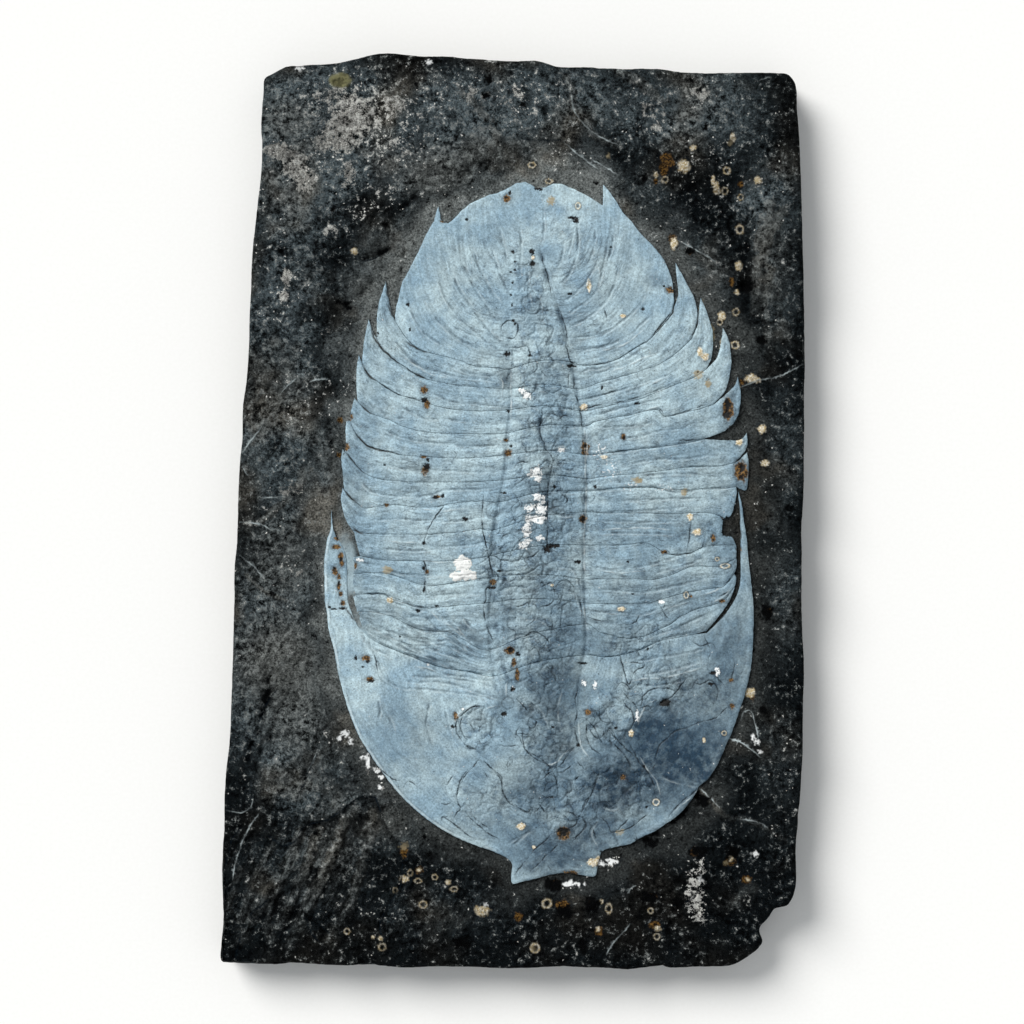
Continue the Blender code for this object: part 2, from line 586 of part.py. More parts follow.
def slab_height(point):
    """The slab's top: an uneven split surface, the worked hollow, ridges, and the broken bed."""
    rim = smooth_loop(HOLLOW_RIM)
    away = distance_to_line(point, rim + rim[:1])
    if inside(point, rim):
        return SLAB_THICKNESS - HOLLOW_DEPTH * smoothstep(0.0, HOLLOW_SLOPE, away)
    broad = noise.noise(Vector((point.x, point.y, 0.019)) * BROAD_WAVES_PER_METRE)
    fine = noise.noise(Vector((point.x, point.y, 0.068)) * FINE_WAVES_PER_METRE)
    wave = BROAD_WAVE * broad + FINE_WAVE * fine
    height = SLAB_THICKNESS + wave * smoothstep(0.0, 2 * HOLLOW_SLOPE, away)
    ledge = [outline_point(reading) for reading in BROKEN_LEDGE]
    corner = ledge + [outline_point((150, 1000)), outline_point((150, 800))]
    if inside(point, corner):
        height -= LEDGE_DROP * smoothstep(0.0, 0.0012, distance_to_line(point, ledge))
    for readings in SLAB_RIDGES:
        ridge = [outline_point(reading) for reading in readings]
        height += RIDGE_RISE * (1 - smoothstep(0.0, RIDGE_HALF_WIDTH, distance_to_line(point, ridge)))
    return height


def smooth_loop(readings):
    """A closed loop through readings, two points to each reading."""
    points = [outline_point(reading) for reading in readings]
    loop = []
    for index, point in enumerate(points):
        following = points[(index + 1) % len(points)]
        before = points[index - 1]
        after = points[(index + 2) % len(points)]
        loop.append(point)
        loop.append((point + following) * 0.5625 - (before + after) * 0.0625)
    return loop


def make_slab(material):
    """The mudstone slab: a flat resting face, uneven split sides, and a top with a shallow hollow."""
    outline = [outline_point(reading) for reading in SLAB_OUTLINE]
    count = len(outline)
    rings = []
    for level, (height, inset) in enumerate(SIDE_RINGS):
        ring = []
        for point, moved in zip(outline, inset_loop(outline, 1.0)):
            unevenness = noise.noise(Vector((point.x, point.y, level * 0.18)) * SIDE_WAVES_PER_METRE)
            between_edges = 0 < level < len(SIDE_RINGS) - 1
            depth = inset + SIDE_UNEVENNESS * (0.5 + 0.5 * unevenness) * between_edges
            spot = point + (moved - point) * depth
            ring.append(Vector((spot.x, spot.y, height)))
        rings.append(ring)
    top_outline = inset_loop(outline, RIM_INSET)
    hollow = smooth_loop(HOLLOW_RIM)
    floor_loop = inset_loop(hollow, HOLLOW_SLOPE)
    inner_edge = inset_loop(outline, EDGE_MARGIN)
    ledge = [outline_point(reading) for reading in BROKEN_LEDGE]
    ledge = [point for point in ledge if inside(point, inner_edge)]
    lines = [hollow + hollow[:1], floor_loop + floor_loop[:1], ledge, beside_line(ledge, 0.0014)]
    for readings in SLAB_RIDGES:
        crest = smooth_run(readings, 7)
        for side in (-1, 0, 1):
            lines.append([
                point for point in beside_line(crest, side * RIDGE_HALF_WIDTH)
                if inside(point, inner_edge) and not inside(point, hollow)
            ])
    taken = sum(lines, []) + top_outline
    loose = []
    spacing = 0.0095
    for row in range(-20, 21):
        for column in range(-12, 13):
            point = Vector(((column + 0.5 * (row % 2)) * spacing, row * spacing * 0.87))
            clear = all((point - other).length > spacing * 0.45 for other in taken)
            if clear and inside(point, inner_edge) and not inside(point, hollow):
                loose.append(point)
    points = list(top_outline)
    edges = [(index, (index + 1) % count) for index in range(count)]
    for line in lines:
        start = len(points)
        points.extend(line)
        edges.extend((start + index, start + index + 1) for index in range(len(line) - 1))
    flat, _, triangles, sources, _, _ = geometry.delaunay_2d_cdt(points + loose, edges, [], 1, 1e-7)
    place = {}
    for index, origins in enumerate(sources):
        for origin in origins:
            place[origin] = index
    vertices = [Vector((point.x, point.y, slab_height(point))) for point in flat]
    faces = [tuple(triangle) for triangle in triangles]
    upper = [place[index] for index in range(count)]
    for ring in reversed(rings):
        lower = list(range(len(vertices), len(vertices) + count))
        vertices.extend(ring)
        for index in range(count):
            following = (index + 1) % count
            faces.append((upper[index], upper[following], lower[following], lower[index]))
        upper = lower
    base_loop = [Vector((vertices[index].x, vertices[index].y)) for index in upper]
    _, _, underside, _, _, _ = geometry.delaunay_2d_cdt(base_loop, edges[:count], [], 1, 1e-7)
    faces.extend(tuple(upper[corner] for corner in triangle) for triangle in underside)
    return make_object("matrix_slab", vertices, faces, material)


def main():
    """Build every piece."""
    for leftover in list(bpy.data.objects):
        bpy.data.objects.remove(leftover, do_unlink=True)
    mudstone = make_material("split_mudstone", (0.026, 0.030, 0.034), 0.75)
    shell = make_material("fossil_shield", (0.34, 0.48, 0.58), 0.6)
    make_slab(mudstone)
    make_tail(shell)
    for number in range(len(SEAMS) - 1):
        make_segment(number, shell)
    make_head(shell)


main()
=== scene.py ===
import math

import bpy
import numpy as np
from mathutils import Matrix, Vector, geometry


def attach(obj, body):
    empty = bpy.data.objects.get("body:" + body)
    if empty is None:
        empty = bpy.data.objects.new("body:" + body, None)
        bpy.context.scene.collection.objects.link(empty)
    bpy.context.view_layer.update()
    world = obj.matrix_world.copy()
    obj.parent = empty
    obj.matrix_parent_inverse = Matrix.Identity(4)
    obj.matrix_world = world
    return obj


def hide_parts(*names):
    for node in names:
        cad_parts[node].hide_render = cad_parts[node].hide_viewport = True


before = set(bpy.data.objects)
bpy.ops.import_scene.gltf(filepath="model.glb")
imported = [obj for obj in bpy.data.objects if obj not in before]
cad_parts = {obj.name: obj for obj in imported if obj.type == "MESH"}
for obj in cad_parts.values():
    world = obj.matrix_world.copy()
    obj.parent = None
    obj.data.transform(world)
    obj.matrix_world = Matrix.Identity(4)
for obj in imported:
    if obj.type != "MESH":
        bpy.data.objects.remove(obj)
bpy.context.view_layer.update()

# %% [markdown]
# # A flattened trilobite on a slab of mudstone
#
# The object is a large trilobite, pressed flat, on the slab of dark mudstone that it was split out of. It
# lies on its back face and is seen from straight above, tail at the top. This notebook dresses the packed
# solids: each of the fifteen pieces gets a fine mesh with its folds, cracks and pits in real relief, and
# a material for what it is made of. It could be sculpted by hand, but a sculpture can't be rebuilt from
# its text. So the big forms come from outlines, the folds and cracks from strokes laid down one by
# one, and only the grain that nobody could draw comes from noise.

COARSE = 1.0
print("frame nodes:", len(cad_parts), "coarse factor:", COARSE)

# %% [markdown]
# ## Readings and millimetres
#
# The outlines and strokes were read off a view from straight above, 1024 by 1024, in its pixels, x
# to the right and y down. One function turns them into millimetres in the frame. A mesh could be modelled
# in pixels and scaled at the end, but then no depth or width in this file would be a real size.

# %% Scale
SLAB_LENGTH = 302.3
VIEW_TOP = 53.5
VIEW_BOTTOM = 969.5
VIEW_MIDDLE = (512.5, 511.5)
PIXEL = SLAB_LENGTH / (VIEW_BOTTOM - VIEW_TOP)


def place(readings):
    """Readings in view pixels, as millimetres in the frame."""
    return (np.array(readings, float) - VIEW_MIDDLE) * (PIXEL, -PIXEL)


print(f"one pixel of the view is {PIXEL:.3f} mm")

# %% [markdown]
# The drawings are kept as text, one stroke or edge to a row and each point a word such as 395,340. Lists of
# tuples would say the same in half as much room again. A row that starts with a space carries on the one
# above it, and # is a remark.

# %% Reading the drawings


def read_rows(text):
    """The rows of a drawing, without its remarks."""
    found = []
    for row in text.strip("\n").split("\n"):
        if row.startswith(" "):
            found[-1] += row
        elif not row.startswith("#"):
            found.append(row)
    return found


def read_points(text):
    """Words such as 395,340 as tuples of numbers."""
    return [tuple(float(part) for part in word.split(",")) for word in text.split()]


def read_strokes(text):
    """One list of points for each row."""
    return [read_points(row) for row in read_rows(text)]


def read_sides(text):
    """Rows whose runs of points are parted by a stroke."""
    return [[read_points(run) for run in row.split("/")] for row in read_rows(text)]


def read_forms(text):
    """Rows with a half width and a lift in mm before their line."""
    found = []
    for row in read_rows(text):
        half_width, lift, line = row.split(maxsplit=2)
        found.append((read_points(line), float(half_width), float(lift)))
    return found


def read_spots(text):
    """Rows of spots of one kind: x, y, half width and half height in pixels, and then the kind."""
    found = []
    for row in read_rows(text):
        kind, places = row.split(maxsplit=1)
        found += [(*spot, kind) for spot in read_points(places)]
    return found


print("a row reads as", read_strokes("395,340 402,351"))

# %% [markdown]
# ## Noise, curves and distances
#
# Four small tools carry everything else. Gradient noise gives unevenness at a stated size in millimetres. A
# smooth curve turns a few readings into an even line. Measuring against a line says how far each point
# of a mesh is from it, which is all that a groove, a ridge or a stain needs.

# %% Noise


def noise(points, size, seed=0, octaves=1):
    """Gradient noise from about -1 to 1 with features of a size in mm, or of two sizes, along x and y."""
    total = np.zeros(len(points))
    strength = 1.0
    for octave in range(octaves):
        grid = points / size * 2 ** octave
        cell = np.floor(grid).astype(np.int64)
        part = grid - cell
        ease = part ** 3 * (part * (part * 6 - 15) + 10)
        corners = []
        for across in (0, 1):
            for up in (0, 1):
                mixed = (cell[:, 0] + across) * 374761393 + (cell[:, 1] + up) * 668265263
                mixed += (seed * 17 + octave) * 982451653
                mixed = ((mixed ^ (mixed >> 13)) * 1274126177) & 0x7FFFFFFF
                angle = ((mixed ^ (mixed >> 16)) & 0xFFFF) * (2 * math.pi / 65536)
                corners.append(np.cos(angle) * (part[:, 0] - across) + np.sin(angle) * (part[:, 1] - up))
        low = corners[0] + (corners[2] - corners[0]) * ease[:, 0]
        high = corners[1] + (corners[3] - corners[1]) * ease[:, 0]
        total += strength * 1.5 * (low + (high - low) * ease[:, 1])
        strength *= 0.5
    return total


def rise(low, high, value):
    """0 below low, 1 above high, and a smooth rise between."""
    share = np.clip((value - low) / (high - low), 0.0, 1.0)
    return share * share * (3 - 2 * share)


print("noise spans", np.round(np.ptp(noise(np.random.default_rng(1).uniform(0, 99, (5000, 2)), 4.0)), 2))

# %% Curves and distances


def smooth(readings, step=0.35, closed=False):
    """An even line in mm through readings, with its points a step apart."""
    knots = place(readings)
    if closed:
        knots = np.vstack([knots[-1:], knots, knots[:2]])
    else:
        knots = np.vstack([2 * knots[:1] - knots[1:2], knots, 2 * knots[-1:] - knots[-2:-1]])
    share = np.linspace(0, 1, 12, endpoint=False)[:, None]
    pieces = []
    for before, start, end, after in zip(knots, knots[1:], knots[2:], knots[3:]):
        pieces.append(0.5 * (
            2 * start + (end - before) * share
            + (2 * before - 5 * start + 4 * end - after) * share ** 2
            + (3 * start - before - 3 * end + after) * share ** 3
        ))
    line = np.vstack(pieces + [knots[-2:-1]])
    travelled = np.concatenate([[0], np.cumsum(np.hypot(*np.diff(line, axis=0).T))])
    count = max(2, int(round(travelled[-1] / step)) + 1)
    wanted = np.linspace(0, travelled[-1], count)
    return np.stack([np.interp(wanted, travelled, line[:, axis]) for axis in (0, 1)], 1)


def measure(points, line, reach=math.inf, block=16):
    """The points within reach of a line: their numbers, distances, and places along it in mm."""
    near = np.all((points > line.min(0) - reach) & (points < line.max(0) + reach), axis=1)
    index = np.flatnonzero(near)
    found = points[index]
    best = np.full(len(index), np.inf)
    along = np.zeros(len(index))
    start = 0.0
    for first in range(0, len(line) - 1, block):
        run = line[first:first + block + 1]
        close = np.arange(len(found))
        if math.isfinite(reach):
            inside = (found > run.min(0) - reach) & (found < run.max(0) + reach)
            close = np.flatnonzero(np.all(inside, axis=1))
        part = found[close]
        gaps = best[close]
        places = along[close]
        for low, high in zip(run, run[1:]):
            step = high - low
            length = max(math.hypot(*step), 1e-9)
            away = part - low
            share = np.clip((away @ step) / length ** 2, 0, 1)
            gap = np.hypot(away[:, 0] - share * step[0], away[:, 1] - share * step[1])
            closer = gap < gaps
            gaps[closer] = gap[closer]
            places[closer] = start + share[closer] * length
            start += length
        best[close] = gaps
        along[close] = places
    within = best < reach
    return index[within], best[within], along[within]


def distance(points, line, reach):
    """How far each point is from a line, and no more than reach."""
    index, away, _ = measure(points, line, reach)
    found = np.full(len(points), float(reach))
    found[index] = away
    return found


def inside(points, loop):
    """Which points lie inside a loop."""
    found = np.zeros(len(points), bool)
    for (x1, y1), (x2, y2) in zip(loop, np.roll(loop, -1, 0)):
        if y1 == y2:
            continue
        spans = (points[:, 1] < y1) != (points[:, 1] < y2)
        found ^= spans & (points[:, 0] < x1 + (points[:, 1] - y1) * (x2 - x1) / (y2 - y1))
    return found


def closed_line(loop):
    """A loop as a line that ends where it starts."""
    return np.vstack([loop, loop[:1]])


test_line = smooth([(100, 100), (200, 110), (300, 90)])
print("a test curve has", len(test_line), "points")

# %% [markdown]
# ## The outlines
#
# A trilobite's shell is a head shield, a row of hinged segments and a tail shield. Here twelve segments lie
# between head and tail. They share thirteen seams, so each seam is given once and both
# neighbours use it. A seam has a left run towards the axis and a right run away from it. Each segment's
# spine is given by its inner edge, its tip and its outer edge.

# %% Slab outline
SLAB_OUTLINE = read_points("""
264,78 272,73 286,66 302,65 343,61 382,53.5 410,54.5 451,56.5 502,60 535,60.5 557,66 586,66 622,69
655,69 682,72 720,72 745,72 780,72 789,74 794,79 797,88 798,112 800,144 802,214 803.5,275 805,316
805.5,360 804.5,391 804.7,432 803.7,493 802,534 801.6,595 803,632 804.5,670 803,713 802,768 800,801
798.3,812 798,825 796,852 796,881 793,895 787,905 780,907 774,909 768,919 761,927 760,933 763,941.5
760,948 753,954 744,960 734,965 723,967 706,967 670,968 664,966 656,967 626,969.5 595,968 563,967
500,969 480,968 442,967 406,968 381,966 351,966 318,965 293,964 278,965 253,965 226,964 220,961
220.4,945 222,926 222.5,913 221,881.5 222,852 224,825 224,797 226,768 229.5,738 231.6,692 232,670
233,630 234,601 234.3,570 236.3,546 237,521 238,493 239.4,464 242,436 242.4,409 246,383 248.4,350
249.6,316 251,275 252.7,246 255,224 258,197 261,169 262,144 261,128 263,91
""")
HOLLOW_RIM = read_points("""
498,157 562,154 610,163 646,203 684,242 714,276 742,319 763,370 771,440 773,510 775,580 775,650 769,707
751,754 728,800 694,838 653,868 618,892 560,907 500,907 484,876 436,858 384,818 341,766 320,714 308,656
300,590 304,529 316,469 322,424 332,378 344,320 361,267 396,224 418,187 461,172
""")
slab_outline = smooth(SLAB_OUTLINE, 0.9 * COARSE, closed=True)[:-1]
hollow_rim = smooth(HOLLOW_RIM, 3.0, closed=True)[:-1]
print("slab outline", len(slab_outline), "points,", np.round(np.ptp(slab_outline, axis=0), 1), "mm")

# %% Seams from the tail forwards
SEAMS = read_sides("""
395.3,321 403,333.5 412,344 421,350 431,353 447,357 462,361 475,366 498,368 509,369 / 572,362 580,365
 600,364.5 615,360 625,355 640,345 648,341 661.6,327 671.8,314 673.7,309
376.5,338 383,350 392,358 405,367 415,374 428,379.5 445,383 462,386 480,387 510,389 / 578,389 600,382.5
 620,377 640,371 656,365.5 670,358 682,348 691,339 696,328 698,318
362,362 364,368 370,375.5 380,383.5 390,390 400,395 412,398.5 427,403 450,409 480,411 510,410 / 581,411
 600,408 620,403 640,399 660,391 675,385 685,381 695,377 706.7,369
357.5,401 360,404 368,411 375,415 390,420 402,426 420,431 440,433 460,433.5 490,434 508,433 / 584,426.5
 595,422 610,418.5 630,415 645,411 658,410 664,416 675,415 690,411 700,409 713.7,404.4
350,421 355,432 362,441 370,447 380,449.5 392,452 402,455 425,456.5 450,458 470,458 506,455 / 587,455
 607,453 620,451.5 640,449 660,447 680,444 695,441 704,439
345,452 352,460 357,466 366,474 380,479 412,482 440,482 470,482 504,480 / 587,479 600,477 630,474
 660,471 680,468 700,466.5 720,466 735,462.7
344,489.5 350,497 357,503 364,508 375,507 385,505.5 400,505 415,507 435,507 455,503 480,501 500,502 /
 587,491 600,490 620,488 650,487.5 665,489 690,490 705,488.5 727,488 736,486.5
352,530 357,531 363,533 375,534 400,534 425,534.5 445,533 460,532 480,529 494,530 / 586,512 605,513
 640,513 670,514 694,512.5 710,513 717,515 728,520
360,556 372,558 385,560 420,561 450,561 470,559 490,556 / 585,545 620,545 645,543 655,547 668,554
 680,554 690,553 697,550 705,546.5 722,545 736,545
353,574 372,572.5 388,574 405,579 420,584 440,585 485,578 / 584,579 600,579 640,579 650,580 665,577
 680,571 690,567 700,566 720,566.5 736,558
353,595 366,594 383,594 392,599 405,603 415,607 428,608 450,606 486,603 / 586,603 620,604 645,603
 655,601 670,597 680,594 690,592 700,590 715,588 724,586 734,574
357,612 366,611.5 380,613 395,618 415,628 432,631 452,633 466,641 488,650 / 586,624 600,632 625,638
 640,637 650,634 660,629 670,624.5 680,617 690,612 700,608 715,604.5 726,598 735,586
364,630 372,639 385,646 400,652 415,658 430,664 445,668 470,672 494,676 / 588,655 605,657 625,654
 640,650 660,641 680,637 695,634 706.5,631
""")
LEFT_ENDS = read_sides("""
395.3,321 392.7,315 389.5,303 387,289 / 385.7,281 / 382,293 378.7,303 377,316 376.5,338
376.5,338 373.6,333 371,326 / 369,318.7 / 366,330 363.6,345 362,362
362,362 361,360 360,358 / 358.9,354.4 / 356.6,368 356.3,388 357.5,401
357.5,401 356.5,400 355.5,399 / 354.4,398 / 352.4,405 350.6,413 350,421
350,421 349,420.5 348,420 / 346.5,419.5 / 345.6,429 345.8,443 345,452
345,452 344.4,451 343.7,450 / 342.5,449 / 341.3,459 342.6,473 344,489.5
344,489.5 343.6,489 343.2,488.5 / 342.6,488 / 341,500 345,518 352,530
352,530 353,531 353.5,532 / 354,533 / 355.5,539 357.5,547 360,556
360,556 358,556.4 356,556.8 / 354,557 / 353,563 353,568 353,574
353,574 352.8,574.4 352.6,574.8 / 352.4,575.4 / 352.2,582 352.3,588 353,595
353,595 353,595.6 353,596 / 353,596.6 / 353.6,602 355,607 357,612
357,612 357.4,613 357.8,614 / 358.2,615 / 359.5,621 361.5,626 364,630
""")
RIGHT_ENDS = read_sides("""
673.7,309 678,295 677.5,285 676.3,275 / 675.4,262.7 / 680.7,272 686,282 692,293 696,304 698,318
698,318 698.6,311 699.5,305 / 700.5,298 / 705,307 710,322 713,335 711.8,356.5 706.7,369
706.7,369 717,357 721,342 / 723,328 / 729,340 731,355 731,367 725.8,390 713.7,404.4
713.7,404.4 727,393 734,386 / 737.9,377 / 740.5,390 740.5,402 738,415 732,425 723,432 704,439
704,439 722,440 740,439.5 / 746.5,433 / 747.7,441 746.6,448 741,456.5 735,462.7
735,462.7 740,459 744,455 / 747,452.4 / 748.7,461.6 748.2,478 746.6,490 741,489.5 736,486.5
736,486.5 736.4,488 736.7,490 / 737,492 / 735,503 732,513 728,520
728,520 726,520.3 724.5,520.6 / 723,521 / 722.5,534 732,537 736,545
736,545 736.3,546 736.5,547 / 736.7,548 / 736.8,551 736.5,554 736,558
736,558 736.4,558.6 736.7,559.2 / 737,560 / 736.8,566 735.8,570 734,574
734,574 734.8,574.6 735.4,575.2 / 736,576 / 736.3,579 736,582 735,586
735,586 734.8,586.8 734.6,587.6 / 734.4,588.4 / 730,600 720,615 706.5,631
""")
AXIS_BULGE = 4  # how far a seam bows to the tail over the axis, in pixels


def seam_readings(number):
    """A seam's readings from left to right, over the axis."""
    left, right = SEAMS[number]
    (x1, y1), (x2, y2) = left[-1], right[0]
    middle = [(x1 + (x2 - x1) * share, y1 + (y2 - y1) * share - AXIS_BULGE) for share in (0.35, 0.65)]
    return left + middle + right


print("seams:", len(SEAMS), "segments:", len(LEFT_ENDS))

# %% Head and tail outlines
HEAD_LEFT_INNER = read_points("""
331.5,507 332.7,524.5 335,534 340,541 345,552 347,565 347.5,585 348,600 352,613 358,626 364,632
""")
HEAD_RIGHT_INNER = read_points("""
706.5,633 715,625 725,614 733.5,602 738.5,590 740.5,577 740.5,557 740.5,540 740,520 739.3,504 738,491.2
""")
HEAD_MARGIN = read_points("""
738,491.2 739.5,495 742,505.5 744,521 746.6,537 748.2,556.5 750.7,577 752.8,597 753.8,618 753.3,633
752.6,650 750.5,671 745,694 738,715 731,735 727,743 720.7,758 715,769 707,780 699.5,786 694,796 686,807
677,816 667,823 655,831 640,838 630,844 615,847 603,851 598,863 595,876 578,874.5 565.7,873 551.4,874.5
536,878.6 521,882 513,884 510.8,876.5 511,862 494.6,852 473.6,844.7 448,833 423,816 402,797 385,776
370.5,755 359,736 349.4,713 343,692 338,673 335.7,659 332.7,645 328.6,630 327,614 325,602 324.5,582
324,565 325.5,549 327.6,538 330.6,529 331,518 331.5,507
""")
TAIL_MARGIN = read_points("""
395.3,321 395,317 396,307 398.7,298 400.6,288 402.5,281 407,273.5 411,266 417,254 422,244 426,235
430,227.6 434,221 435.7,213.6 438.5,206 440,213.6 441,219 444,222.5 448,223.4 451.6,221 455.5,217
462,210 471,203 480,199 489,195 497.6,193 508,188 517,183 525.6,182 531,184.5 536,188 545,187.5
553,183.6 562,184 576,190 588,196 596.5,201.5 602.6,205.5 603.2,184.2 609,191 616,201 622,211 631,221
641,234 655,248 664,259.5 669,271 672.4,281 673.7,294 674.3,303 673.7,309
""")
SEAM_GAP = 0.09  # mm between touching plates, half on each side


def chain(*lines):
    """One line from lines that share their end points."""
    return np.vstack([lines[0]] + [line[1:] for line in lines[1:]])


def corner_line(readings, step=0.35):
    """An even line through readings that keeps their corners."""
    knots = place(readings)
    travelled = np.concatenate([[0], np.cumsum(np.hypot(*np.diff(knots, axis=0).T))])
    wanted = np.union1d(np.linspace(0, travelled[-1], int(travelled[-1] / step) + 2), travelled)
    wanted = wanted[np.concatenate([[True], np.diff(wanted) > 0.02])]
    return np.stack([np.interp(wanted, travelled, knots[:, axis]) for axis in (0, 1)], 1)


def shrink(loop, distance):
    """A clockwise loop moved inwards."""
    ahead = np.roll(loop, -1, 0) - np.roll(loop, 1, 0)
    ahead /= np.hypot(*ahead.T)[:, None]
    return loop + distance * np.stack([ahead[:, 1], -ahead[:, 0]], 1)


def turning(first, second, third):
    """Twice the area of triangles, positive where they turn to the left."""
    one = second - first
    two = third - first
    return one[:, 0] * two[:, 1] - one[:, 1] * two[:, 0]


def untangle(loop):
    """A loop without the small bows that moving its points can tie."""
    gap = 2
    while gap < 30:
        one, two = loop, np.roll(loop, -1, 0)
        three, four = np.roll(loop, -gap, 0), np.roll(loop, -gap - 1, 0)
        crossed = turning(one, two, three) * turning(one, two, four) <= 0
        crossed &= turning(three, four, one) * turning(three, four, two) <= 0
        tied = np.flatnonzero(crossed)
        if len(tied):
            loop = np.delete(loop, (tied[0] + 1 + np.arange(gap)) % len(loop), axis=0)
            gap = 2
        else:
            gap += 1
    return loop


def segment_edges(number):
    """A segment's rear and front edges, each from its left spine tip to its right spine tip."""
    left_inner, left_tip, left_outer = LEFT_ENDS[number]
    right_inner, right_tip, right_outer = RIGHT_ENDS[number]
    rear = chain(
        smooth(left_tip + left_inner[::-1]), smooth(seam_readings(number)), smooth(right_inner + right_tip)
    )
    front = chain(
        smooth(left_tip + left_outer), smooth(seam_readings(number + 1)),
        smooth(right_outer[::-1] + right_tip),
    )
    return rear, front


seam_lines = [smooth(seam_readings(number)) for number in range(len(SEAMS))]
segment_lines = [segment_edges(number) for number in range(len(LEFT_ENDS))]
tail_margin = corner_line(TAIL_MARGIN)
head_margin = smooth(HEAD_MARGIN)
head_rear = chain(smooth(HEAD_LEFT_INNER), smooth(HEAD_LEFT_INNER[-1:] + seam_readings(12)[1:-1]
                                                  + HEAD_RIGHT_INNER[:1]), smooth(HEAD_RIGHT_INNER))
outlines = {
    "pygidium": shrink(np.vstack([tail_margin, seam_lines[0][::-1][1:-1]]), SEAM_GAP / 2),
    "cephalon": shrink(np.vstack([head_rear[:-1], head_margin[:-1]]), SEAM_GAP / 2),
}
for number, (rear, front) in enumerate(segment_lines):
    outlines[f"thoracic_segment_{12 - number}"] = shrink(np.vstack([rear, front[::-1][1:-1]]), SEAM_GAP / 2)
for name, outline in outlines.items():
    ragged = [0.10 * noise(outline, 1.6, 51 + axis, 2) for axis in (0, 1)]
    outlines[name] = untangle(outline + np.stack(ragged, 1))
print("plates:", len(outlines), "outline points:", sum(len(outline) for outline in outlines.values()))
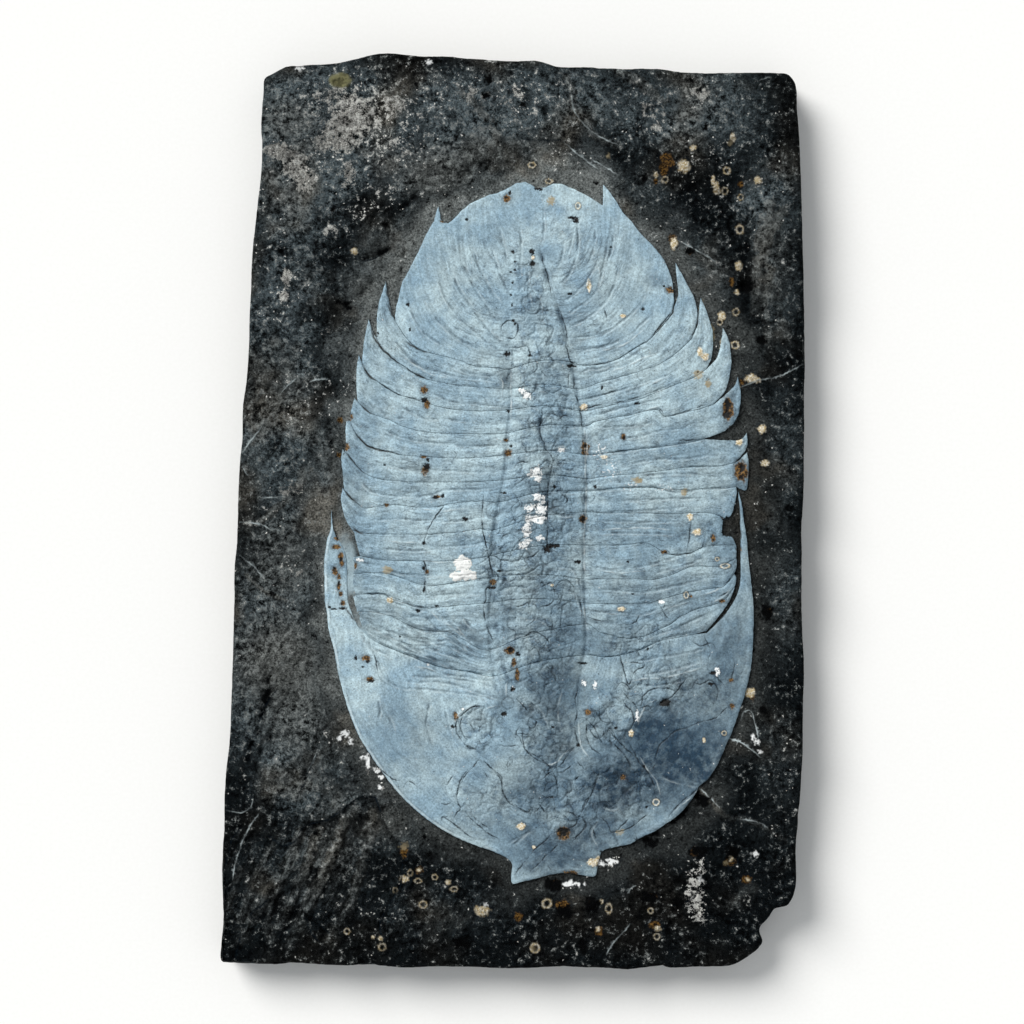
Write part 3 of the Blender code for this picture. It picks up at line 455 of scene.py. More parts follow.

# %% [markdown]
# ## Strokes on the fossil
#
# The shell was crushed as the mud was squeezed to stone, and it shows as hundreds of lines. Five kinds
# cover them: a fold is a soft furrow, a crack is narrow and nearly black, a ridge catches the light, a
# shade is a broad dark hollow, and a gully is a gap with dark stone in it. The slab has cracks and pale
# veins too. They could come from a noise pattern, but cracks have causes: they run along the segments,
# round the eyes and out of the axis. So each is laid down one by one.

# %% Folds
FOLDS = read_strokes("""
# left side lobe, from the tail forwards
395,340 400,347 410,358 420,366 430,370 445,373 460,377 498,381
447,364 460,370 474,374 498,376
405,352 412,361 424,369
432,393 445,399 460,403 480,404 505,407
377,407 385,414 395,418 408,418
400,408 415,413 425,418 445,419 470,421
384,430 395,434 405,438 420,441 440,443 470,446 500,444
385,464 395,466 412,470 445,470 480,472 500,471
362,480 370,490 378,493 390,495 412,496 430,495 445,490 470,489 495,488
370,520 390,519 420,520 450,521 480,518
382,549 400,550 420,551 435,549 450,546 470,545 485,542
385,569 405,574 430,575 460,575 490,572
364,594 383,594 398,599 412,604 426,609
428,595 455,594 485,593
362,606 375,611 390,612 400,614
410,640 430,642 450,640 466,648 480,656
463,615 470,625 480,635
415,628 432,632 447,628 455,635 470,647
395,650 415,657 430,664 445,668 470,672 500,676
380,627 395,633 412,640 430,648 450,655 470,660
366,618 380,630 398,640 415,648 440,656
360,630 370,645 380,651 393,657
415,664 430,670 443,676
357,624 379,637 401,646 423,661 442,673 462,676 491,681
362,637 376,656 384,676 401,687 428,689 457,692 477,695 496,700
369,627 393,637 418,651 438,661 464,673
384,600 403,605 418,610 430,607 447,620 460,632 472,644 482,649
393,624 413,632 438,644 457,649 477,661
406,617 425,617 435,627 452,639 467,651
# the head's rear furrow
404,681 420,682 440,682 455,684 470,689 484,694 500,699
412,676 440,677 470,681 495,687
# right side lobe
580,374 590,368 600,368 620,362 640,352
580,400 595,397 620,390 640,384 655,379 670,374
622,394 640,388
650,393 670,385
595,415 612,410 640,404 660,398
595,427 625,426 655,422
622,439 640,436 660,431 681,429
607,453 630,450 655,447 680,443 704,439
630,463 645,461 660,459 690,458 712,453
685,467 710,466
640,476 670,474 700,473
594,490 620,488 650,488 680,492 700,489 730,487
620,501 660,499 700,498
605,512 630,511 650,510 690,506
600,520 640,522 680,521
600,533 640,533 675,534
588,566 612,569 640,566 655,563 680,555
655,573 680,566 700,560
600,590 620,590 640,592 665,588 690,582 712,576
590,612 615,612 640,614 660,608 690,600
640,640 660,633 680,626 705,615
640,650 660,640 692,632
628,662 660,657 690,652 706,646
640,674 660,672 680,667 700,661
640,685 665,684 680,680 692,676
# tail ribs, right
562,301 572,296 583,285 590,275 597,262
563,317 580,306 592,296 600,280 607,245
570,327 585,319 600,308 612,290 618,268
574,338 600,334 622,322 638,306 646,290
578,350 605,346 630,334 650,316
560,284 570,272 577,255 578,245 577,222
566,258 572,240 574,228
589,262 594,244 595,228
607,262 612,245 612,232
556,270 562,255 564,240
# tail ribs, left
450,270 460,290 470,306 480,320 492,335 505,345
462,262 472,284 484,304 498,322
472,248 480,270 490,290 502,306
490,245 496,264 503,283 508,292
438,278 448,302 464,322 482,338 500,352
424,296 438,320 458,338 480,350
410,310 424,332 444,346
500,228 503,246 507,262
486,222 490,236
# tail axis
543,212 544,232 541,246
537,290 540,305 541,322
528,262 528,290 531,310
520,225 521,250 519,275
# axis rings
517,387 527,388 540,390 550,391
520,403 535,407 541,409
548,386 560,387 572,387
558,396 570,397
557,407 568,409 578,409
560,428 570,427 580,426
525,452 535,447 543,448
546,448 558,446 568,448
560,468 570,470 580,470
520,430 530,428 540,430
552,490 566,492 580,491
550,512 565,515 582,513
515,614 530,618 540,619 548,624 553,628
565,624 575,626
556,567 573,569 580,585 578,590
562,590 572,591 578,597 581,608 583,617
500,590 515,586 530,588
505,640 520,634 540,640
# head
376,695 380,712 378,725
386,712 392,725 394,735
430,700 426,725 432,745
444,708 448,724 452,740
528,700 540,712 548,730
560,690 556,712 560,734
530,830 520,836 508,843
533,829 524,835 512,846
660,775 680,782 699,786
600,803 612,808 620,804
596,820 590,834 596,848
612,832 618,842 616,846
""")
print("folds:", len(FOLDS))

# %% Cracks
CRACKS = read_strokes("""
# thorax, left
405,340 412,345 421,350 431,353
376,340 383,350 392,358 405,367 415,374 428,379.5
361.5,364 368,374 380,383.5 400,395 420,400
362,441 370,447 380,449.5 392,452 402,455
445,504 437,515 428,530 424,545
422,555 425,565 427,572
425,580 425,588 427,596
484,492 482,515 483,530 486,545 490,562 493,575 491,585 486,590 486,600 484,608 486,622 490,634 494,642
364,594 383,594
398,599 412,605 428,607
412,487 410,493
453,451 457,455 453,460
372,650 376,660 377,668 379,677 386,683 395,687
492,553 500,560 505,560 515,561 532,556 540,549
# thorax, right
580,365 600,364 615,360 625,355 640,345 650,340
658,327 666,320
698,318 696,328 691,339
595,397 610,393 626,388
580,411 600,405 620,402 640,397 655,391
658,408 662,412 664,417
664,417 675,414 690,410 706,405
713,404 722,397 730,390
607,453 620,451 632,450
672,441 690,440 704,439
691,521 690,530 689,540 686,552
705,535 704,542 702,548
680,554 690,553 697,550 703,547
665,548 672,554 684,555
650,585 646,594 645,603
723,585 730,580 736,573
660,606 664,613 669,619
665,604 664,609
708,631 716,623 722,618 727,610 731,603
716,598 724,594 733,589
702,632 706,640 710,650 708,660
586,616 597,620 603,621
622,645 620,655 625,675 629,684 634,672 642,668 644,664 640,656 636,650
630,662 643,664
620,655 604,658 600,662
619,612 620,620 628,625 636,622 640,612
# axis
543,411 541,420 540,430 541,438 544,443 546,450 552,458 552,467 550,478 548,490 547,515 547,530 547,545
 549,560
552,459 560,455
552,467 555,478 559,487
541,546 545,551 548,553
574,392 577,399 580,412 582,420 581,430
573,373 574,384 574,392
568,373 569,387
578,590 580,600 582,610 582,618
535,590 545,585 551,583 554,590 554,598 550,604 540,607
530,357 529,364 532,370
524,387 518,388
541,582 552,584
528,348 531,356
564,340 568,352 571,362 580,366
# tail
541.7,254 544,265 548,278 552,296
558,307 564,322 568.5,345
500,337 501,332 503,325 510,321 518,325 514,338 500,337
604,308 607,320
577,228 578,240 576,252
673,310 664,322 656,332 650,338
# head
484,706 473,707 465,712 458,719 456,728 459,737 465,744 473,748
465,745 470,748 478,749
462,716 460,726 464,736 470,742
469,714 475,709 482,707
500,745 508,746 516,745 520,742
511,758 507,764 508,767 512,761 511,758
516,697 522,704 529,712
520,725 516,733 520,738 526,750 533,757 545,763 553,769
516,733 530,734 536,728
532,717 536,722 533,728 528,725 529,718 532,717
480,758 474,766 468,772 463,780 459,787 457,795 456,799
453,774 447,784 444,782
484,761 493,769 501,777 502,785 503,795
510,801 520,808 531,814
483,770 488,777
527,790 526,802
527,808 535,812 540,806 546,798 552,796
540,806 546,814
456,799 461,808 456,814 454,820
440,803 447,804 453,801
441,822 443,817 455,824 468,835 472,838
467,814 474,821 482,828 490,835 500,840
403,789 406,783 412,782 417,786 418,791
373,765 385,773 393,779 400,780
550,835 540,845 530,855 520,868 515,875
578,688 575,700 577,712 575,722 576,735 579,745
578,745 572,749 567,757 561,765 552,770
552,771 556,780 558,790 562,797
541,780 547,774 552,771
622,690 627,697 634,704 638,710
603,728 605,738 609,730 613,735 616,738 612,742 607,740
586,722 587,738 592,748 601,755
578,718 585,718 592,725 598,735 604,746
617,740 625,748 633,755 637,762
628,741 634,752 640,763 650,776 656,790
601,768 598,776 595,785 591,795 586,803 580,814
578,762 585,770
579,776 575,780
565,812 572,813 578,818
578,818 574,825 569,829
582,818 585,822 583,830 577,836 572,842
588,820 593,830 596,840
600,816 607,824 612,832 622,826 630,816
612,832 625,830 640,820 650,812
632,829 636,834 637,840 633,838
698,787 692,793 680,803 672,812 668,818
655,765 656,755 660,745 668,737 675,731 688,727 700,722 715,718 727,707
656,764 652,768
634,687 641,690 642,700 640,710
641,708 648,706 652,710
657,706 663,701 670,698 676,692 682,684 687,678
735,662 733,672 731,680
715,675 722,683 726,688
598,709 599,717
575,663 588,663
548,865 552,871
468,769 462,778 458,788 457,799 460,808
485,762 494,771 501,779 502,790 509,802 520,808 527,812 534,806
522,730 523,742 528,752 540,758 550,767 554,772
538,799 545,797 551,794
539,802 546,813
574,762 568,768 562,772 553,771
600,772 595,780 592,792 585,802 580,815 574,818
582,816 586,826 580,834 572,838
599,706 600,717 604,722 612,722
622,696 626,706 632,712 634,722 629,730
587,722 592,733 600,738 606,730
604,736 611,728 616,738 622,744
612,742 622,752 630,764 634,772
446,818 456,826 466,834 474,838
470,814 480,822 489,829
615,690 622,682 630,690 624,700
640,700 650,690 664,688 676,690
690,680 700,684 710,680 718,690 716,700
560,842 550,852 540,862 530,872
690,640 700,646 710,643 718,650
560,486 562,494 568,500 562,506
520,500 512,508 514,520 522,524
500,540 508,534 518,538 524,546
556,584 566,580 574,588 576,600
508,600 518,606 530,602 538,608
512,470 520,462 530,464
556,424 564,416 574,418
520,640 532,632 544,636 552,646
""")
print("cracks:", len(CRACKS))

# %% Ridges and shades
# Ridges are raised lines, painted paler as a highlight.
RIDGES = read_strokes("""
404,357 416,366 430,374 450,379
430,610 440,620 452,627 465,640
453,622 460,630 468,641
428,528 433,518 438,512
511,370 511,390 511,410 510,425
584,425 585,460 586,500 584,540 585,575
582,600 585,618 587,630
645,387 656,382 668,376
610,372 625,367 640,360 657,353
645,411 652,408 660,406
500,373 503,385 502,398
628,683 640,679 665,677 680,674 700,668 708,663
556,448 562,447 568,449
478,703 468,707 459,713 455,720
484,710 494,706 504,705
508,680 506,690 507,697
579,720 579,735 582,748 590,758
655,700 646,704 640,716 638,724
700,788 692,796 680,806 673,814
640,757 648,770 656,782 660,794
545,765 556,762 566,752 572,747
596,440 600,452 604,462
587,430 587,445 587,460
540,190 541,197 543,203
527,177 529,182 534,186 540,187.5
586,272 588,282 583,292
596,262 600,275 598,288
600,352 625,344 645,328
420,560 440,562 470,560
380,540 400,542 420,543
420,508 440,511 470,508
600,530 640,528 670,530
595,570 620,573 645,570
415,667 428,668 437,672
700,596 712,592 724,586
708,604 722,598 732,588
""")
# Shades are broad hollows, darkened with painted shade.
SHADES = read_strokes("""
498,500 494,540 494,600 500,650 510,690
506,366 506,376 507,388
550,470 548,500 548,530 546,556
568,360 572,372 576,392
585,475 585,500 586,520
536,380 537,400
520,560 535,558 548,560
462,618 470,626 478,634
470,710 478,707 484,707
466,746 474,749
658,704 664,700 672,697
540,250 545,270 551,292
555,305 563,325 568,345
500,560 505,580 500,596
640,742 652,758 658,764
586,620 600,622 620,622
541,412 539,429 541,441 546,452 548,470 548,488 545,507 547,549
455,622 467,627 477,634 481,638
""")
# open gaps beside the spines, filled with dark stone
GULLIES = read_strokes("""
386,285 388,300 391,312 396,322
405,342 412,346 421,351 431,354
371,327 374,337 380,346 388,354 398,363 408,370 418,375 428,380
362,362 368,374 376,381
360,404 366,410 374,415
355,432 361,440 368,446 378,450 390,452 402,455
346,452 352,460 358,467 364,473
344,489 350,497 357,503 363,507
351,525 357,531 364,534
345,607 350,614 357,624
675,300 671,315 660,328 650,338
699,308 697,322 691,338
712,362 716,356 719,348
714,404 724,396 730,389
706,440 722,437 738,436
736,462 741,457
720,516 724,520 728,522
716,622 724,613 730,603
739,500 740,520 740,545
""")
# Broad tones over the fossil: x, y, reach across, reach up, and how much darker it gets
TONES = read_points("""
548,560,46,120,0.34 548,440,36,90,0.18 520,620,34,60,0.22 552,690,42,62,0.56 560,640,40,40,0.3
555,745,38,34,0.45 612,780,34,34,0.72 640,790,40,28,0.6 662,748,44,40,0.7 694,764,42,26,0.85
655,725,34,30,0.6 700,690,46,26,0.5 720,640,34,30,0.3 600,730,30,26,0.3 560,850,70,34,0.35
610,830,50,26,0.4 480,830,60,26,0.2 530,790,40,26,0.25 548,790,26,18,0.4 690,800,34,30,0.45
545,372,44,20,0.3 505,374,12,22,0.45 534,300,26,50,0.18 570,330,20,34,0.25 640,590,60,30,0.22
640,530,70,26,0.16 610,640,50,26,0.32 500,590,22,60,0.34 640,740,34,24,0.4 350,560,22,60,0.22
400,560,40,40,0.12 372,612,30,20,0.3 420,470,40,26,0.16 356,480,16,60,0.3 370,400,18,50,0.18
385,340,16,40,0.16 655,282,16,10,0.35 480,720,24,22,0.25 504,700,12,16,0.4 390,715,30,20,0.1
430,735,26,26,0.1 590,820,30,40,0.35 730,540,12,40,0.2 512,500,20,30,0.12 440,660,60,20,0.1
620,450,50,30,0.08 700,440,40,30,0.1 500,760,30,30,0.06 690,750,70,60,0.42 730,690,30,50,0.35
545,850,60,40,0.32 560,780,90,60,0.24 550,700,60,50,0.22 640,700,60,50,0.16 400,740,60,60,0.1
450,280,60,60,0.05 430,770,110,80,0.12 700,760,60,50,0.35 620,280,70,70,0.08 520,230,60,50,0.08
740,640,20,60,0.25 560,800,90,50,0.15 470,300,90,90,0.05 610,785,46,28,0.55 655,742,34,30,0.65
695,670,60,36,0.12 555,862,46,22,0.38 505,812,60,34,0.16 605,270,60,60,0.1 405,740,50,60,0.06
546,500,8,60,0.3 640,770,60,40,0.42 405,730,60,60,0.1 570,700,30,40,0.08 690,735,60,50,0.25
""")
print("ridges:", len(RIDGES), "shades:", len(SHADES), "tones:", len(TONES))

# %% [markdown]
# ## Spots
#
# Small round shells and grains of pyrite lie all over the slab. Pyrite rusts, so its spots are dark brown.
# The shells are cream discs or rings, and some are thin dark circles. Chalk and white flakes lie where the
# film has come off, and pits, dimples and gaps are holes in it. Each spot is an ellipse with a ragged edge,
# and its kind says what it does.

# %% Spots on the fossil
# A row is a kind, then for each spot x, y, half width and half height in pixels
FOSSIL_SPOTS = read_spots("""
chalk 463,564,8,7.5 457,576,7,4 468,575,9,5
white 536,472,5,5 531,475,3.5,2.5 538,479,3.5,3 538,497,5,3.5 530,508,4.5,3.5 541,508,5,6.5
 538,519,8,4.5 529,519,3.5,4 527,530,4,6.5 540,538,4.5,2.2 524,545,6,3.5 528,541,3,2.5 527,396,4,3
 522,391,3,2.5
dust 601,452,9,8 611,470,10,9 630,487,9,5 664,488,9,4
white 561,450,3.5,2 584,683,2,3 595,685,2,3.5 637,716,1.5,5.5 717,672,2.5,4 513,688,1.5,2
 463,709,1.6,1.2 360,560,3,1.5 661,602,3,1.8 428,664,1.6,1.2
rust 585,448,4.5,8 583,519,4,4.5 508,453,3.5,4 493,582,3.5,3 506,440,2.5,1.8 510,650,6,4 514,662,2.5,5
 517,674,2.5,7 728.3,408.6,6,13 741.5,471.3,6.5,11.5 730,430,3,3.5 739,550,2.5,3.5 713,538,2.5,4
 623.5,437,2.5,3.5 664,552,3.5,2 691,596,1.5,1.5 722,601,3,2 563,833,7,7 623,777,3,3 731,680,2.5,2.5
 732,706,2.5,3 670,290,4.5,3.5 588,712,3.5,3 386.7,505,2.5,2 425,471,3.5,5 424,457,3,1.5 424,390,4,4
 427,404,3,5 437,497,4,2 427,572,2,2.5 337,538,3,2.5 336,547,5,2.5 341,556,3,4 342,563,2.5,4 335,571,3,5
 339,577,2,3 339,586,2,4 341,594,2,3 355,566,2.5,3.5 351.5,593,3,3 346,447,4,4 349,417,4.5,3.5
 343,603,2.5,3 456,716,2.5,5 370,679,4,2.5 366,658,5,3 571,873.5,7,3.5
ochre 551,201,4,4
rust 549,181,4,3 507,199,4,4
pit 541,190,1.6,1.6
rust 443,221.5,3.5,1.5
ochre 387,570,5,4
cream 390,600,3.5,3 584,407,4,3.5 697,532,4.5,3.5 690,517,3,3.5
ochre 698,374.5,5,5
cream 705,357,4,4
ochre 684,493,3,4 708,384,3,4
cream 739,442,3.5,4.5 604,457,4,2 623,316,3,2 589,286,2.5,6 533,258,2,2
ring 656,802,3.5,3.5
cream 599,861,5,5 593,862,6,4 534,847,2,2 631,733,2.5,3.5
ochre 620,832,4,3
cream 704,740,1.6,3 521,826,4.5,3.5 552,585,1.5,1.5 621,609,4,2.5 700,352,3,5
ochre 637,480,6,3
ring 578,206,2.8,3.5 686,595,2.5,3.5 717,559,2.2,2 725,566,5,2.5 724,733,2.5,2.5
circle 493,510,7,7 508,703,6,6 511,761,2,4.5 500,720,3,3 547,423,5,6
pit 576,220,3,3.5 572,218,4,1.5 532,252,3,3 532.6,264,2.4,3 513,252,1.6,2 515,262,1.2,1.2
 515,270,1.2,1.2 513,321,2,1.4 515,324,1.2,1.6 511,272,1.2,1 513,283,1,1.6 511,295,1,1.4 512,305,1,1.6
 510,193,1.4,2.2 538,188.5,4,1.8 643,309.5,1.8,1.6 664,286.5,1.2,1.2 611,247.5,1.2,1.2 570,294,2.4,1.2
 467,219.5,1.8,1.6 404,275,3,1.2 408,304.5,1.8,1.8 410,330,1,2 378,333,2,1.2 424,400,3,2.4
 427,467,3.5,3.5 428,460,1.6,2 436,497.5,3,1.6 443,496,1.8,1.8 385,465,1.4,1.2 424,543,1.8,1.8
 424,568,1.4,2.4 424,590,1.2,2.4 418,611,2.4,1.6 330,607,1.6,1.4 343,608.6,5,1.2 334,609,3,0.9
 356,658,1.6,2.4 368,661.5,1.8,1.6 363,667,1.4,1.2 371,681,3,1.6 453,726.5,2.4,1.8 504,714,3.5,2
 511,650,3.6,2.4 518,654,2,2.4 513,689,2.4,2.4 583,519,2.6,2.6 554,546,6,2 547,549,4,4 578,562,3.5,1.8
 571,366,4.5,1.8
gap 728,520,5,3 733,526,4.5,9 727,534,5,2.4
pit 648,648.6,1.6,1.2 595,487,1.4,1.8 602,388,1.2,2 555,487,2.6,1.6 508,411,2,1.6 511,446,1.4,1.4
 665,703,6,4 644,766.5,1.8,1.6 616,728,1.8,1.4 578.4,745.2,2,2 552.6,726.8,1.4,1.2 563.5,832,5.5,5.5
 646.6,807,1.6,1.2 551.8,797,1.4,1 606,852,5,2 583,663.4,4,1 499,571,3,1.2 492,588,4,1.6 711,684,3,1.6
 713,673,3,2 465,519,3.6,2 504,493,2.4,1.2 507,354,3.6,2.4 530,356,2,1.6 637,403.5,3,1.6 633,594,1.6,0.9
 628,562,1.2,1.4 698,372,1,1 351,593,1.6,1.4 341,559,1.6,2.6 338,538.6,1.4,1.4 335,568.5,1.4,1.4
 339,583,1,2 352,563,1.2,1.2 437,606,1.4,1.2 400,636.6,1,1 728,405,3.6,6 727,415,4.5,3.5 742,468,3,4
 741,477,2.4,2 585,446,1.6,1.8 624,438,1.4,1.8
""")
print("spots on the fossil:", len(FOSSIL_SPOTS))

# %% [markdown]
# ## Relief
#
# Height is worked out point by point, in millimetres. Each stroke pushes the surface down or up over its
# own width and colours the same shape, dirt and painted shade in a groove and painted highlight on a
# ridge, so the colour always sits in its groove. The relief of this fossil is low: a millimetre or so
# for the axis, and a few tenths for a fold.

# %% Stroke and spot painting
FILM_TOP = 16.5
FILM_BASE = 15.10
AXIS_LIFT = 1.5
STROKE_KINDS = {  # half width and depth in mm, then the stain and how strong it is
    # Fold and crack stains are dirt and painted shade, the shade stain is painted shade, and ridge and lip
    # stains are painted highlight.
    "fold": (0.60, 0.26, "dark_marks_and_shade", 0.52),
    "crack": (0.32, 0.30, "dark_marks_and_shade", 1.6),
    "ridge": (0.42, -0.20, "pale", 0.65),
    "shade": (1.60, 0.25, "tone", 0.60),
    "gully": (0.50, 0.26, "earth", 0.95),
    "lip": (0.42, -0.08, "pale", 0.26),
    "vein": (0.32, -0.10, "pale", 1.0),
}
SPOT_KINDS = {  # depth in mm, positive down, and the stain
    "cream": (-0.12, "cream"), "white": (-0.05, "white"), "rust": (0.14, "rust"), "ochre": (-0.03, "ochre"),
    "ring": (0.0, "cream"), "olive": (-0.2, "olive"), "circle": (0.0, "dark_marks_and_shade"), "pit": (0.35, "black"),
    "gap": (1.10, "black"),
    "chalk": (-0.12, "cream"), "dust": (-0.02, "white"), "dimple": (0.40, "black"),
}
FILM_MAPS = ("dark_marks_and_shade", "pale", "tone", "crush", "lined", "earth", "ochre", "rust", "cream", "white", "black")
STONE_MAPS = (
    "level", "bloom", "specks", "brown", "dashes", "worked", "film", "olive",
    "dark_marks_and_shade", "pale", "ochre", "rust", "cream", "white", "black", "side",
)


def beside(line, shift):
    """A line moved to one side."""
    ahead = np.gradient(line, axis=0)
    ahead /= np.maximum(np.hypot(*ahead.T), 1e-9)[:, None]
    return line + shift * np.stack([-ahead[:, 1], ahead[:, 0]], 1)


def roughen(line, seed):
    """A drawn line made as uneven as a real crack."""
    shift = [
        0.15 * noise(line + 40.0 * axis, 1.3, seed) + 0.22 * noise(line - 25.0 * axis, 5.0, seed)
        + 0.12 * noise(line + 15.0 * axis, 0.7, seed)
        for axis in (1, 2)
    ]
    return line + np.stack(shift, 1)


fossil_strokes = []
for stroke_kind, drawn_lines, stroke_step in (
    ("shade", SHADES, 1.0), ("gully", GULLIES, 0.5), ("fold", FOLDS, 0.5), ("crack", CRACKS, 0.35),
    ("ridge", RIDGES, 0.45),
):
    fossil_strokes += [
        (stroke_kind, roughen(smooth(line, stroke_step), seed)) for seed, line in enumerate(drawn_lines)
    ]


# Painted highlight: beside each long fold a lip is raised a little and painted paler on the side that faces
# the light.
LIP_DISTANCE = 0.66  # mm from the middle of a fold to the raised lip on its lit side
LIT_SIDE = (0.6, -0.8)  # light comes from the upper left, so the far wall of a fold catches it
for stroke_kind, line in list(fossil_strokes):
    if stroke_kind == "fold" and len(line) > 12:
        shifted = beside(line, LIP_DISTANCE)
        if np.mean((shifted - line) @ LIT_SIDE) < 0:
            shifted = beside(line, -LIP_DISTANCE)
        fossil_strokes.append(("lip", shifted))


def new_sheet(points, level, maps):
    """Points with a height each, and every map at nothing."""
    sheet = {name: np.zeros(len(points)) for name in maps}
    sheet["points"] = points
    sheet["height"] = np.full(len(points), float(level))
    sheet["maps"] = maps
    return sheet


def stain_and_light_at(sheet, name, index, amount):
    """Stain some points, or paint light or shade on them, where it is more than they have."""
    sheet[name][index] = np.maximum(sheet[name][index], np.clip(amount, 0, 1))


def lay_stroke(sheet, kind, line, seed, strength=1.0):
    """Push a stroke into a sheet and stain it."""
    half_width, depth, stain, amount = STROKE_KINDS[kind]
    index, away, along = measure(sheet["points"], line, half_width * 1.6)
    if not len(index):
        return
    length = np.hypot(*np.diff(line, axis=0).T).sum()
    from_end = np.minimum(along, length - along)
    track = np.stack([along, np.full(len(along), seed * 3.7)], 1)
    broken = 0.30 + 0.80 * rise(-0.55, 0.40, noise(track, 3.4, seed)) + 0.15 * noise(track, 0.9, seed + 1)
    taper = rise(-0.3, min(2.6, length * 0.35), from_end)
    profile = 1 - rise(0.10, 1.0, away / (half_width * (0.40 + 0.60 * taper * broken)))
    pressed = strength * profile * (0.35 + 0.65 * taper)
    sheet["height"][index] -= depth * pressed * broken
    stain_and_light_at(sheet, stain, index, amount * pressed ** 1.3 * broken)


def lay_ring(sheet, index, radius, kind):
    """A round shell seen from above, or only the line round one."""
    if kind == "circle":
        line = 1 - rise(0.04, 0.20, np.abs(radius - 1.0))
        sheet["height"][index] -= 0.12 * line
        stain_and_light_at(sheet, "dark_marks_and_shade", index, 0.55 * line)
        return
    shell = 1 - rise(0.06, 0.30, np.abs(radius - 0.86))
    sheet["height"][index] += 0.15 * shell
    stain_and_light_at(sheet, "cream", index, 0.80 * shell)
    stain_and_light_at(sheet, "black", index, 0.55 * (1 - rise(0.06, 0.30, np.abs(radius - 1.25))))
    stain_and_light_at(sheet, "black", index, 0.60 * (1 - rise(0.40, 0.62, radius)))


def lay_spot(sheet, spot, seed):
    """Set a shell, a rusty grain, a flake or a pit into a sheet."""
    x, y, half_width, half_height, kind = spot
    depth, stain = SPOT_KINDS[kind]
    centre = place((x, y))
    half = np.array((half_width, half_height)) * PIXEL
    away = np.abs(sheet["points"] - centre)
    index = np.flatnonzero(np.all(away < half * 1.9 + 0.5, axis=1))
    if not len(index):
        return
    points = sheet["points"][index]
    radius = np.hypot(*((points - centre) / half).T)
    ragged = {
        "ring": 0.10, "circle": 0.08, "olive": 0.12, "cream": 0.26, "chalk": 0.30, "rust": 0.30
    }.get(kind, 0.50)
    size = max(0.7, half.max() * 0.6)
    radius = radius + ragged * noise(points, size, seed)
    radius = radius + ragged * 0.8 * noise(points, size * 0.45, seed + 5)
    if kind in ("ring", "circle"):
        lay_ring(sheet, index, radius, kind)
        return
    cover = 1 - rise(0.75, 1.15, radius)
    if kind == "white":
        radius = radius + 0.35 * noise(points, 0.9, seed + 3)
        cover = (1 - rise(0.94, 1.08, radius)) * rise(-0.55, -0.35, noise(points, 0.8, seed + 9))
    if kind == "chalk":
        cover = 1 - rise(0.92, 1.08, radius)
        stain_and_light_at(sheet, "white", index, 0.92 * cover)
    if kind == "dust":
        cover = (1 - rise(0.5, 1.2, radius)) * rise(0.34, 0.44, noise(points, 0.7, seed + 9))
    sheet["height"][index] -= depth * cover
    stain_and_light_at(sheet, stain, index, cover * (0.45 if kind == "dimple" else 1.0))
    if kind in ("cream", "white", "rust"):
        rim = 1 - rise(0.05, 0.35, np.abs(radius - 1.25))
        stain_and_light_at(sheet, "dark_marks_and_shade", index, 0.45 * rim)


print("strokes:", len(fossil_strokes))

# %% [markdown]
# ## Meshes that follow the drawing
#
# A plain grid would need millions of faces before a hairline crack looked sharp. Here each plate starts
# from an even net of points, and more are added only along its strokes and round its spots. A constrained
# triangulation joins them inside the outline, so the faces are small where the drawing is fine.

# %% Point nets


def even_net(low, high, spacing, seed):
    """A staggered net of points, each nudged a little."""
    rows = np.arange(low[1], high[1], spacing * 0.866)
    columns = np.arange(low[0], high[0], spacing)
    x, y = np.meshgrid(columns, rows)
    x = x + (np.arange(len(rows)) % 2)[:, None] * spacing / 2
    points = np.stack([x.ravel(), y.ravel()], 1)
    return points + np.random.default_rng(seed).uniform(-0.16, 0.16, points.shape) * spacing


def drawing_points(strokes, spots, step):
    """Points along strokes and round spots, the ones in the middle of a stroke first."""
    middles = [line for kind, line in strokes if kind not in ("shade", "lip")]
    sides = []
    for kind, line in strokes:
        half_width = STROKE_KINDS[kind][0]
        if kind not in ("shade", "lip"):
            sides += [beside(line, half_width * share) for share in (-1.0, -0.5, 0.5, 1.0)]
    rings = []
    for x, y, half_width, half_height, kind in spots:
        half = np.array((half_width, half_height)) * PIXEL
        for share in (0.35, 0.65, 0.85, 1.0, 1.15, 1.4):
            count = max(6, int(2 * math.pi * share * half.max() / step))
            angle = np.linspace(0, 2 * math.pi, count, endpoint=False)
            rings.append(place((x, y)) + share * half * np.stack([np.cos(angle), np.sin(angle)], 1))
    return np.vstack(middles + sides + rings) if middles or rings else np.zeros((0, 2))


def thin_out(points, cell):
    """Points with no two in one small cell. The earlier one stays."""
    _, first = np.unique(np.floor(points / cell).astype(np.int64), axis=0, return_index=True)
    return points[np.sort(first)]


def join(outline, points):
    """Triangles over an outline and the points inside it, as points and corner numbers."""
    count = len(outline)
    edges = [(index, (index + 1) % count) for index in range(count)]
    flat, _, faces, sources, _, _ = geometry.delaunay_2d_cdt(
        [Vector(point) for point in np.vstack([outline, points]).tolist()], edges, [], 1, 1e-6
    )
    where = {}
    for index, origins in enumerate(sources):
        for origin in origins:
            where[origin] = index
    return np.array([tuple(point) for point in flat]), faces, [where[index] for index in range(count)]


print("a 10 mm square takes", len(even_net((0, 0), (10, 10), 0.3, 1)), "points at 0.3 mm")

# %% Solid plates


